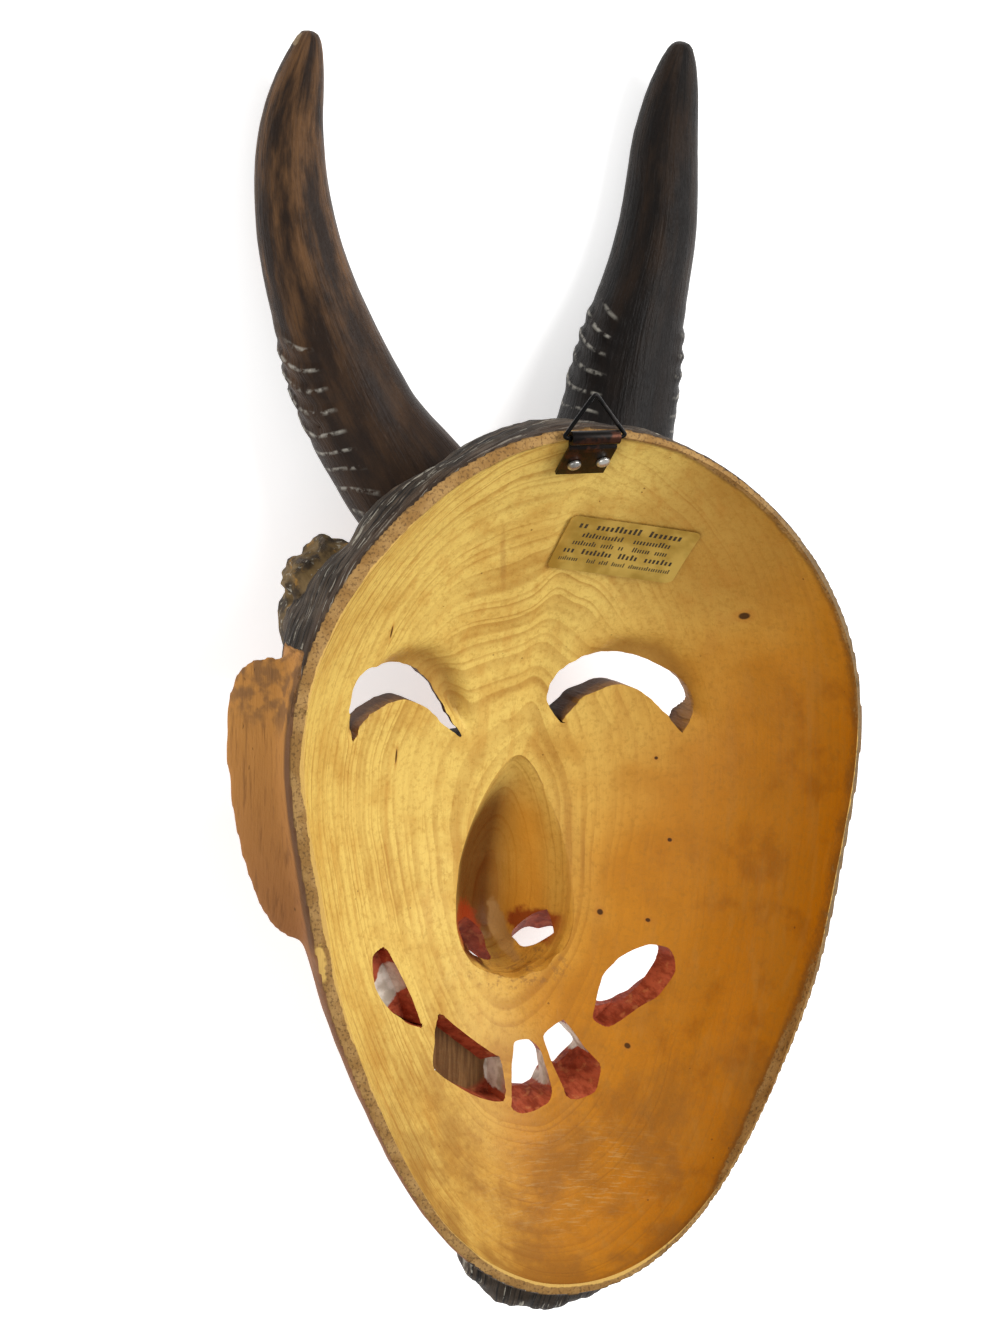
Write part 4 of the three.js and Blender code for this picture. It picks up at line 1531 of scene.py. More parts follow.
@dataclass(frozen=True)
class BareLimewood:
    """Carved and sanded limewood under old wax: honey at the left and crown, darker orange at the right, partly tan
    and partly painted shade.

    Its year rings run round a heart that lay in front of the mask, so the bowl cuts them into nested arcs at the
    crown and the chin and into long streaks on the cheeks.
    """

    honey: str = "#E2C369"
    amber: str = "#C88B2C"
    tanned: str = "#BC7208"
    late_wood: str = "#9A611C"
    ring_mm: float = 3.35
    heart_x_mm: float = 4.0
    heart_z_mm: float = -25.0
    knots: tuple[tuple[float, float, float, float], ...] = (
        (78.3, 86.3, 1.9, 1.5), (37.1, -32.5, 1.1, 1.2), (41.9, -81.7, 1.1, 1.1), (57.7, 27.3, 0.7, 0.7),
        (62.6, -4.4, 0.8, 0.8), (53.6, -35.1, 0.9, 0.8), (-47.9, 33.3, 0.4, 3.0), (-58.8, 84.4, 0.4, 2.6),
    )

    def rings(self, recipe: Recipe) -> Socket:
        """Late wood of the year rings, from 0 to 1.

        Args:
            recipe: the material being made.

        Returns:
            The share of late wood.
        """
        add = recipe.add
        # the heart leans a little, and swerves between the eyes round what was once a twig
        lean = add("Math", recipe.y, -0.024, self.heart_x_mm, operation="MULTIPLY_ADD")
        across = add("Math", recipe.x, lean, operation="SUBTRACT")
        deep = add("Math", recipe.z, self.heart_z_mm, operation="SUBTRACT")
        far = add("VectorMath", add("CombineXYZ", across, deep, 0), operation="LENGTH", pick="Value")
        twig = recipe.oval(-6, 92, 20, 26)
        swerve = add("Math", 2.718, add("Math", add("Math", twig, 2, operation="POWER"), -1),
                     operation="POWER")
        far = add("Math", swerve, 7.0, far, operation="MULTIPLY_ADD")
        for size, force in ((60, 9.0), (14, 1.3)):
            far = add("Math", add("TexNoise", recipe.place, 1 / size, 0.5, 0.5), force, far, operation="MULTIPLY_ADD")
        # wide and narrow years follow each other
        year = add("TexNoise", far, 1 / 8, 2, 0.6, noise_dimensions="1D")
        far = add("Math", year, 9.0, far, operation="MULTIPLY_ADD")
        turn = add("Math", far, self.ring_mm, operation="DIVIDE")
        share = add("Math", turn, operation="FRACT")
        rise = add("MapRange", share, 0.35, 0.9, **EASE)
        fall = add("MapRange", share, 0.93, 1.0, 1, 0, **EASE)
        year = add("TexWhiteNoise", add("Math", turn, operation="FLOOR"), noise_dimensions="1D")
        force = add("MapRange", year, 0, 1, 0.35, 1.0)
        line = add("Math", add("Math", rise, fall), force)
        line = add("Math", line, add("MapRange", recipe.x, 20, 75, 1.0, 0.4))
        # the lines show well in some places and hardly in others
        shown = recipe.patches((45, 2, 0.5), 0.38, 0.6, 0.35, 1.0)
        return add("Math", line, shown)

    def tan(self, recipe: Recipe) -> Socket:
        """The wood's base tone: honey, growing darker and more orange to the right and lower right, partly tan and
        partly painted shade.

        Args:
            recipe: the material being made.

        Returns:
            The colour.
        """
        add = recipe.add
        # the darker orange towards the right and lower right is partly tan and partly painted shade on the right wall
        slope = add("Math", recipe.y, -0.42, recipe.x, operation="MULTIPLY_ADD")
        cloud = add("TexNoise", recipe.place, 1 / 55, 4, 0.6)
        tan = add("Math", cloud, 52.0, slope, operation="MULTIPLY_ADD")
        tone = add("Mix", add("MapRange", tan, 17, 83), self.honey, self.amber)
        tone = add("Mix", add("MapRange", tan, 57, 126), tone, self.tanned)
        # handled wood is never one tone: soft darker clouds, and a brown one at the crown's right, partly painted
        # shade on the right wall
        cloud = recipe.patches((26, 4, 0.62), 0.44, 0.66, 0, 0.36)
        tone = add("Mix", cloud, tone, "#B0741F")
        crown = add("MapRange", recipe.oval(62, 118, 36, 44, 35), 1.2, 0.4, 0, 0.55, **EASE)
        tone = add("Mix", crown, tone, "#9A6216")
        # darker brown patches at the lower right: partly stains where a hand takes hold, partly painted shade
        stain = recipe.patches((16, 4, 0.62), 0.46, 0.7, 0, 0.45)
        where = add("MapRange", tan, 70, 120, **EASE)
        return add("Mix", add("Math", stain, where), tone, "#84480E")

    def marks(self, recipe: Recipe, tone: Socket) -> Socket:
        """Knots, checks, painted shade in the scoops over the eyes and in the nose hollow, and the end grain at the
        chin.

        Args:
            recipe: the material being made.
            tone: the wood's colour so far.

        Returns:
            The colour with its marks.
        """
        add = recipe.add
        # painted shade in the nose hollow: dark brown down its left wall and darker with depth towards the nostrils,
        # with a brighter orange painted on the lit right slope
        deep = add("MapRange", recipe.z, 43, 29, **EASE)
        inside = add("MapRange", recipe.oval(4, -18, 27, 46), 1.05, 0.5, **EASE)
        nose_shade = add("Math", deep, inside)
        warm = add("Mix", add("MapRange", recipe.x, 2, 18, **EASE), "#542000", "#F0A634")
        nose_shade = add("Math", nose_shade, add("MapRange", recipe.x, 4, 24, 0.9, 0.5))
        tone = add("Mix", nose_shade, tone, warm)
        # red paint has run a little way in round the nostrils; the third, near-black patch is painted shade in the
        # left nostril's deep pit
        smear = add("TexNoise", recipe.place, 1 / 4, 3)
        for x, y, wide, tall, red in (
            (20, -40, 9, 6, "#8A2C12"), (-8, -42, 8, 11, "#9A3515"), (-10, -50, 6, 7, "#2A0D07"),
        ):
            gap = add("Math", smear, 0.8, recipe.oval(x, y, wide, tall), operation="MULTIPLY_ADD")
            stain = add("Math", add("MapRange", gap, 1.6, 1.15, 0, 0.85, **EASE), add("MapRange", recipe.z, 46, 40))
            tone = add("Mix", stain, tone, red)
        septum = add("Math", smear, 0.8, recipe.oval(8.2, -43, 3.4, 11, 6), operation="MULTIPLY_ADD")
        tone = add("Mix", add("MapRange", septum, 1.5, 1.1, 0, 0.85, **EASE), tone, "#B0854C")
        gouged = recipe.patches((3, 3, 0.7), 0.5, 0.64, 0, 0.6)
        low = add("MapRange", recipe.oval(4, -53, 21, 8), 1.15, 0.8, **EASE)
        tone = add("Mix", add("Math", gouged, low), tone, "#8E6434")
        # painted shade: the gouged scoops over the eyes are coloured darker brown in the recess
        scoop = add("MapRange", add("Attribute", attribute_name="scoop", pick="Fac"), 0.15, 0.9, 0, 0.62, **EASE)
        tone = add("Mix", scoop, tone, "#96682F")
        for x, y, wide, tall in self.knots:
            gap = recipe.oval(x, y, wide, tall)
            halo = add("MapRange", gap, 2.6, 0.9, 0, 0.45, **EASE)
            tone = add("Mix", halo, tone, "#B5732A")
            tone = add("Mix", add("MapRange", gap, 1.15, 0.7, 0, 0.92, **EASE), tone, "#38200C")
        scar = add("MapRange", recipe.oval(-16, 110, 1.6, 18, 17), 1.1, 0.3, 0, 0.4, **EASE)
        tone = add("Mix", scar, tone, "#A06F35")
        # torn end grain low on the chin: short pale scratches across it
        torn = add("Mapping", recipe.place, None, (0, 0, math.radians(28)), (1 / 7, 1 / 0.8, 1 / 7))
        fuzz = add("MapRange", add("TexNoise", torn, 1, 3, 0.7), 0.5, 0.68, **EASE)
        chin = add("MapRange", recipe.oval(8, -128, 42, 17, 14), 1.3, 0.4, 0, 0.3, **EASE)
        tone = add("Mix", add("Math", fuzz, chin), tone, "#D6BC84")
        # patchy darker brown towards the chin
        low = add("MapRange", recipe.y, -35, -140, 0, 0.72, **EASE)
        darkening = recipe.patches((24, 4, 0.65), 0.4, 0.64, 0.25, 1)
        return add("Mix", add("Math", low, darkening), tone, "#8A5A26")

    def build(self) -> Material:
        """The hollow's finish, with the rim's paint lapping over its edge.

        Returns:
            The material.
        """
        recipe = Recipe("bare_limewood")
        add, place = recipe.add, recipe.place
        tone = self.tan(recipe)
        rings = self.rings(recipe)
        tone = add("Mix", add("Math", rings, 0.64), tone, self.late_wood)
        # fibres: 0.6 mm wide and 30 mm long, up the face; streaks: 5 mm wide
        fibre = add("TexNoise", add("Mapping", place, None, None, (1 / 0.6, 1 / 30, 1 / 0.6)), 1, 3, 0.6)
        lines = add("MapRange", fibre, 0.5, 0.78, 0, 0.3, **EASE)
        tone = add("Mix", lines, tone, "#A8752F")
        streak = add("TexNoise", add("Mapping", place, None, None, (1 / 5, 1 / 140, 1 / 5)), 1, 3, 0.5)
        tone = add("Mix", add("MapRange", streak, 0.5, 0.7, 0, 0.3, **EASE), tone, "#B98136")
        # 2 mm mottling, as of old wax in open pores
        mottle = recipe.patches((2.2, 4, 0.7), 0.46, 0.7, 0, 0.34)
        tone = add("Mix", mottle, tone, "#9A6A22")
        specks = add("TexVoronoi", place, 1 / 7.5)
        dots = add("Math", specks, 0.055, operation="LESS_THAN")
        rare = add("MapRange", add("TexNoise", place, 1 / 30, 1), 0.5, 0.56, 0, 0.65)
        tone = add("Mix", add("Math", dots, rare), tone, "#5A3614")
        tone = self.marks(recipe, tone)
        stored = add("Attribute", attribute_name="lap", pick="Fac")
        lap = add("Math", add("TexNoise", place, 1 / 1.5, 2), 0.8, stored, operation="MULTIPLY_ADD")
        painted = add("MapRange", lap, 0.3, 0.7, **EASE)
        tone = add("Mix", add("MapRange", lap, -0.5, 0.5, 0, 0.55, **EASE), tone, "#5C4025")
        tone = add("Mix", painted, tone, RimPaint().colour(recipe))
        relief = add("Math", rings, -0.35, add("Math", fibre, 0.5), operation="MULTIPLY_ADD")
        normal = add("Bump", 0.6, 0.00022, None, relief)
        fine = add("TexNoise", place, 1 / 1.1, 3)
        normal = add("Bump", 0.5, 0.0003, None, fine, normal)
        facets = add("TexVoronoi", place, 1 / 13, feature="SMOOTH_F1")
        normal = add("Bump", 0.35, 0.002, None, facets, normal)
        return recipe.finish(tone, add("MapRange", painted, 0, 1, 0.46, 0.68), normal, specular_ior_level=0.15)


@dataclass(frozen=True)
class EyeReveal:
    """The cut through each eye: bare near the hollow, brown painted shade deeper in, and black paint towards the
    front.
    """

    bare: str = "#A87A3C"
    shade_brown: str = "#5A3A1E"
    black: str = "#1B1511"

    def build(self) -> Material:
        """Pale wood that darkens with depth as painted shade, then black paint, with the carver's chop marks.

        Returns:
            The material.
        """
        recipe = Recipe("shaded_eye_reveal")
        add, place = recipe.add, recipe.place
        ragged = add("TexNoise", place, 1 / 6, 3)
        deep = add("Math", ragged, 14.0, recipe.z, operation="MULTIPLY_ADD")
        # the right eye's paint starts further in
        deep = add("Math", deep, add("MapRange", recipe.x, -5, 5, 0, 9), operation="ADD")
        # painted shade: the bare wood turns brown with depth; black paint follows further in
        tone = add("Mix", add("MapRange", deep, 69, 58, **EASE), self.bare, self.shade_brown)
        tone = add("Mix", add("MapRange", deep, 56, 44, **EASE), tone, self.black)
        chop = add("TexNoise", add("Mapping", place, None, None, (1 / 1.4, 1 / 1.4, 1 / 9)), 1, 3)
        tone = add("Mix", add("MapRange", chop, 0.5, 0.7, 0, 0.4, **EASE), tone, "#3B2411")
        return recipe.finish(tone, 0.6, add("Bump", 0.6, 0.0008, None, chop), specular_ior_level=0.3)


@dataclass(frozen=True)
class MouthPaint:
    """Terracotta red paint brushed thin over the cut walls, off-white tooth backs and bare brown floors, with painted
    shade darkening the cuts towards the front.
    """

    red: str = "#B4573A"
    red_low: str = "#8A3A24"
    red_thin: str = "#C77F50"
    wood: str = "#86643D"
    wood_low: str = "#6A4B2D"
    tooth: str = "#E6E0D2"
    tooth_low: str = "#B5AB9A"
    teeth: tuple[tuple[float, float, float, float, float], ...] = (
        (-52.0, -53.5, 5.2, 12.5, -22), (-6.2, -91.5, 3.6, 7.0, 8),
        (11.6, -90.0, 3.0, 7.0, 0), (25.0, -80.0, 4.0, 6.5, 24),
    )

    def build(self) -> Material:
        """Red walls with darker and paler brush marks, and each tooth's back by its place.

        Returns:
            The material.
        """
        recipe = Recipe("terracotta_mouth_paint")
        add, place = recipe.add, recipe.place
        brush = add("TexNoise", add("Mapping", place, None, None, (1 / 3, 1 / 3, 1 / 10)), 1, 4, 0.6)
        red = add("Mix", add("MapRange", brush, 0.35, 0.65, **EASE), self.red_low, self.red)
        thin = recipe.patches((4, 3), 0.56, 0.7, 0, 0.5)
        red = add("Mix", thin, red, self.red_thin)
        grain = add("TexNoise", add("Mapping", place, None, None, (1 / 1.3, 1 / 16, 1 / 6)), 1, 3, 0.6)
        wood = add("Mix", add("MapRange", grain, 0.35, 0.65, **EASE), self.wood_low, self.wood)
        up = add("SeparateXYZ", add("NewGeometry", pick="Normal"), pick="Z")
        # only the broad floor of the second slot is left bare
        level = add("MapRange", up, 0.6, 0.85, **EASE)
        floor = add("Math", level, add("MapRange", recipe.oval(-23, -84, 19, 16), 1.1, 0.9, **EASE))
        tone = add("Mix", floor, red, wood)
        white = add("Mix", recipe.patches((5, 3), 0.35, 0.65), self.tooth_low,
                    self.tooth)
        wavy = add("TexNoise", place, 1 / 3.5, 2)
        low = add("MapRange", recipe.z, 66, 58, **EASE)
        for x, y, wide, tall, turn in self.teeth:
            gap = add("Math", wavy, 0.5, recipe.oval(x, y, wide, tall, turn), operation="MULTIPLY_ADD")
            back = add("Math", add("MapRange", gap, 1.3, 1.15, **EASE), low)
            tone = add("Mix", back, tone, white)
        # painted shade: the cuts darken towards the front, deep in the slots, gaps and nostril bores
        darkening = add("MapRange", recipe.z, 20, 4, 0, 0.6, **EASE)
        tone = add("Mix", darkening, tone, "#3A1A10")
        return recipe.finish(tone, 0.5, add("Bump", 0.6, 0.0007, None, brush), specular_ior_level=0.1)


@dataclass(frozen=True)
class CarvedPaint:
    """The painted outside: dark combed hair with white dry-brushed ridges, stained horns, tanned skin."""

    hair: str = "#362C22"
    hair_gap: str = "#17120E"
    hair_brush: str = "#ADA696"
    horn: str = "#271B13"
    horn_rubbed: str = "#6C4C2F"
    ear: str = "#B67E3E"

    def build(self) -> Material:
        """Each region in turn over the skin.

        Returns:
            The material.
        """
        recipe = Recipe("painted_limewood")
        add, place = recipe.add, recipe.place
        part = {name: add("Attribute", attribute_name=name, pick="Fac") for name in (
            "hair", "beard", "brow", "tuft", "lip", "tooth", "horn", "ear", "past_rim")}
        lie = add("Attribute", attribute_name="lie", pick="Vector")
        ragged = add("Math", add("TexNoise", place, 1 / 5, 3), 0.7, -0.35, operation="MULTIPLY_ADD")
        tone = self.skin_colour(recipe, lie)
        leaf = add("MapRange", part["ear"], 0.3, 0.7, **EASE)
        tone = add("Mix", leaf, tone, self.ear_colour(recipe))
        hairy = add("Math", part["hair"], part["beard"], operation="MAXIMUM")
        hairy = add("Math", hairy, part["brow"], operation="MAXIMUM")
        hairy = add("MapRange", add("Math", hairy, ragged, operation="ADD"), 0.3, 0.5, **EASE)
        hair_tone, strand = self.hair_colour(recipe, lie)
        tone = add("Mix", hairy, tone, hair_tone)
        tufty = add("MapRange", add("Math", part["tuft"], ragged, operation="ADD"), 0.35, 0.6, **EASE)
        tone = add("Mix", tufty, tone, self.tuft_colour(recipe))
        lips = add("MapRange", add("Math", part["lip"], ragged, operation="ADD"), 0.45, 0.7, **EASE)
        tone = add("Mix", lips, tone, "#8E3A26")
        tone = add("Mix", add("MapRange", part["tooth"], 0.45, 0.7, **EASE), tone, "#D9CFB8")
        # partly dark paint, partly painted shade in the seam just outside the rim
        beside_ear = add("MapRange", recipe.oval(-118, 22, 40, 50), 1.1, 0.9, 0.3, 0.75, **EASE)
        outside = add("Math", ragged, 3.0, part["past_rim"], operation="MULTIPLY_ADD")
        seam = add("Math", add("MapRange", outside, 1.5, 0.4, **EASE), add("MapRange", recipe.z, 110, 115, **EASE))
        seam = add("Math", seam, beside_ear)
        tone = add("Mix", seam, tone, "#4A3018")
        horned = add("MapRange", add("Math", part["horn"], ragged, operation="ADD"), 0.3, 0.7, **EASE)
        tone = add("Mix", horned, tone, self.horn_colour(recipe, lie))
        up = add("SeparateXYZ", add("NewGeometry", pick="Normal"), pick="Z")
        flat = add("Math", add("MapRange", up, 0.8, 0.95), add("MapRange", recipe.z, 118.7, 119.3))
        tone = add("Mix", flat, tone, self.rim_colour(recipe))
        grain = add("TexNoise", add("Mapping", lie, None, None, (2.2, 0.12, 1)), 1, 3, 0.6)
        height = add("Mix", hairy, grain, strand, data_type="FLOAT")
        normal = add("Bump", 0.8, 0.0006, None, height)
        normal = add("Bump", 0.5, 0.0003, None, add("TexNoise", place, 1 / 1.4, 3), normal)
        return recipe.finish(tone, add("MapRange", horned, 0, 1, 0.66, 0.42), normal, specular_ior_level=0.12)

    def rim_colour(self, recipe: Recipe) -> Socket:
        """The painted rim and the bare strip inside it.

        Args:
            recipe: the material being made.

        Returns:
            The colour.
        """
        add = recipe.add
        stored = add("Attribute", attribute_name="lap", pick="Fac")
        lap = add("Math", add("TexNoise", recipe.place, 1 / 1.5, 2), 0.8, stored, operation="MULTIPLY_ADD")
        painted = add("MapRange", lap, 0.3, 0.7, **EASE)
        paint = RimPaint().colour(recipe)
        # the paint has split off down to yellow splinters at one place on the left
        chip = add("TexNoise", recipe.place, 1 / 4, 3)
        chip = add("Math", chip, 0.9, recipe.oval(-103.5, -31, 5, 12), operation="MULTIPLY_ADD")
        paint = add("Mix", add("MapRange", chip, 1.3, 1.1, **EASE), paint, "#D0A95C")
        # grey with handling on the right
        worn = add("Math", add("MapRange", recipe.x, 62, 92), add("MapRange", recipe.y, -70, -25, 0, 0.7))
        paint = add("Mix", worn, paint, "#6E5E4A")
        return add("Mix", painted, "#CFA65A", paint)

    def ear_colour(self, recipe: Recipe) -> Socket:
        """Varnished wood with upright grain and fine cracks, and a brown smudge near the top.

        Args:
            recipe: the material being made.

        Returns:
            The colour.
        """
        add = recipe.add
        grain = add("TexNoise", add("Mapping", recipe.place, None, None, (1 / 1.1, 1 / 22, 1 / 3)), 1, 4, 0.62)
        tone = add("Mix", add("MapRange", recipe.y, -20, 60), "#925F34", self.ear)
        tone = add("Mix", add("MapRange", grain, 0.5, 0.72, 0, 0.5, **EASE), tone, "#6B4424")
        cracks = add("TexNoise", add("Mapping", recipe.place, None, None, (1 / 1.2, 1 / 7, 1 / 2)), 1, 2, 0.7)
        tone = add("Mix", add("MapRange", cracks, 0.7, 0.76, 0, 0.8), tone, "#3A2414")
        smudge = recipe.patches((6, 3), 0.4, 0.6, 0, 0.6)
        top = add("MapRange", recipe.oval(-114, 70, 17, 17), 1.2, 0.5, **EASE)
        return add("Mix", add("Math", smudge, top), tone, "#5E4533")

    def skin_colour(self, recipe: Recipe, lie: Any) -> Socket:
        """Thin tan stain that lets the grain through, darker in the pores.

        Args:
            recipe: the material being made.
            lie: the direction of the strands.

        Returns:
            The colour.
        """
        add = recipe.add
        grain = add("TexNoise", add("Mapping", lie, None, None, (1.5, 0.07, 1)), 1, 4, 0.62)
        cloud = recipe.patches((38, 3), 0.35, 0.65)
        tone = add("Mix", cloud, "#84583A", "#A8744B")
        tone = add("Mix", add("MapRange", grain, 0.52, 0.72, 0, 0.45, **EASE), tone, "#5C3A24")
        speck = recipe.patches((0.9, 2), 0.6, 0.72, 0, 0.5)
        return add("Mix", speck, tone, "#6E4930")

    def hair_colour(self, recipe: Recipe, lie: Any) -> tuple[Socket, Socket]:
        """Dark hair, its strokes picked out with a nearly dry white brush.

        Args:
            recipe: the material being made.
            lie: the direction of the strands.

        Returns:
            The colour, and the height of the strands.
        """
        add = recipe.add
        strand = add("TexNoise", add("Mapping", lie, None, None, (0.95, 0.035, 1)), 1, 4, 0.65)
        cloud = recipe.patches((16, 3), 0.4, 0.65)
        tone = add("Mix", cloud, self.hair, "#57493B")
        tone = add("Mix", add("MapRange", strand, 0.45, 0.62, **EASE), tone, self.hair_gap)
        # one brush mark every 1.3 mm across the strands, broken where the brush has skipped
        brush = add("TexNoise", add("Mapping", lie, (40, 7, 0), None, (0.8, 0.045, 1)), 1, 3, 0.6)
        brush = add("MapRange", brush, 0.57, 0.64, **EASE)
        dry = recipe.patches((4.5, 3), 0.42, 0.56, 0, 0.8)
        white = add("Math", brush, dry)
        return add("Mix", white, tone, self.hair_brush), strand

    def tuft_colour(self, recipe: Recipe) -> Socket:
        """Olive-brown knobs, whitish on their crests, with bare amber wood where the paint has missed.

        Args:
            recipe: the material being made.

        Returns:
            The colour.
        """
        add = recipe.add
        cloud = recipe.patches((8, 4), 0.38, 0.6)
        tone = add("Mix", cloud, "#382C1E", "#705A38")
        amber = recipe.patches((5, 3), 0.58, 0.7, 0, 0.6)
        tone = add("Mix", amber, tone, "#A87A32")
        pale = recipe.patches((2.6, 3), 0.6, 0.7, 0, 0.6)
        return add("Mix", pale, tone, "#B5AE9C")

    def horn_colour(self, recipe: Recipe, lie: Any) -> Socket:
        """Dark stain rubbed back to warm brown halfway up the left horn, near black on the right one.

        Args:
            recipe: the material being made.
            lie: the direction of the strands.

        Returns:
            The colour.
        """
        add = recipe.add
        along = add("Attribute", attribute_name="horn_along", pick="Fac")
        streak = add("TexNoise", add("Mapping", lie, None, None, (0.13, 0.025, 1)), 1, 5, 0.62)
        left = add("MapRange", recipe.x, 30, -10, 0.12, 1.0)
        middle = add("Math", add("MapRange", along, 0.3, 0.6, 0.25, 0.95, **EASE), left)
        rubbed = add("Math", add("MapRange", streak, 0.38, 0.7, **EASE), middle)
        under = add("Mix", left, "#0D0B0A", self.horn)
        tone = add("Mix", rubbed, under, self.horn_rubbed)
        fine = add("TexNoise", add("Mapping", lie, None, None, (1.4, 0.05, 1)), 1, 3)
        tone = add("Mix", add("MapRange", fine, 0.5, 0.7, 0, 0.4, **EASE), tone, "#1C1410")
        # thin white rubbed lines on the ridges' crests
        ridge = add("Math", add("Attribute", attribute_name="horn_ridge", pick="Fac"), operation="FRACT")
        crest = add("Math", add("MapRange", ridge, 0.66, 0.8), add("MapRange", ridge, 0.92, 0.84))
        cover = add("MapRange", add("Attribute", attribute_name="horn_cover", pick="Fac"), 0.35, 0.8, 0, 0.6)
        dry = add("MapRange", add("TexNoise", recipe.place, 1 / 3, 3), 0.42, 0.6)
        crest = add("Math", add("Math", crest, cover), dry)
        tone = add("Mix", crest, tone, "#B9B4A8")
        chip = add("TexNoise", recipe.place, 1 / 3, 3)
        chip = add("Math", chip, 1.2, recipe.oval(-77, 303, 2, 7, -25), operation="MULTIPLY_ADD")
        return add("Mix", add("MapRange", chip, 1.4, 1.2, 0, 0.8), tone, "#9A8260")


@dataclass(frozen=True)
class Metal:
    """Sheet or wire metal: blackened iron that shows bronze where it is rubbed, or bright nail steel."""

    name: str
    dark: str
    worn: str
    wear: float
    rough: float

    def build(self) -> Material:
        """Metal with a rubbed tone and fine scratches.

        Returns:
            The material.
        """
        recipe = Recipe(self.name)
        add = recipe.add
        rubbed = recipe.patches((5.5, 4), 0.45, 0.62, 0, self.wear)
        fine = add("TexNoise", recipe.place, 1 / 0.6, 3)
        tone = add("Mix", rubbed, self.dark, self.worn)
        rough = add("MapRange", fine, 0, 1, self.rough - 0.1, self.rough + 0.15)
        return recipe.finish(tone, rough, add("Bump", 0.5, 0.00008, None, fine), metallic=0.85)


@dataclass(frozen=True)
class GoldFoil:
    """Matt gold foil paper: soft sheen, slightly browned, with faint clouds."""

    def build(self) -> Material:
        """Gold with a faint cloud.

        Returns:
            The material.
        """
        recipe = Recipe("gold_foil")
        add = recipe.add
        cloud = recipe.patches((11, 3), 0.35, 0.65)
        tone = add("Mix", cloud, "#B2913B", "#D6B65A")
        fine = add("TexNoise", recipe.place, 0.5, 2)
        return recipe.finish(tone, 0.42, add("Bump", 0.4, 0.0001, None, fine), metallic=0.55)


@dataclass(frozen=True)
class PrintedInk:
    """Dark brown printing ink on the foil: flat and matt."""

    def build(self) -> Material:
        """Ink that thins here and there.

        Returns:
            The material.
        """
        recipe = Recipe("printed_ink")
        add = recipe.add
        thin = add("MapRange", add("TexNoise", recipe.place, 0.9, 2), 0.45, 0.7, 0, 0.4, **EASE)
        return recipe.finish(add("Mix", thin, "#2A2216", "#6B5526"), 0.6)


# The hanger and the label


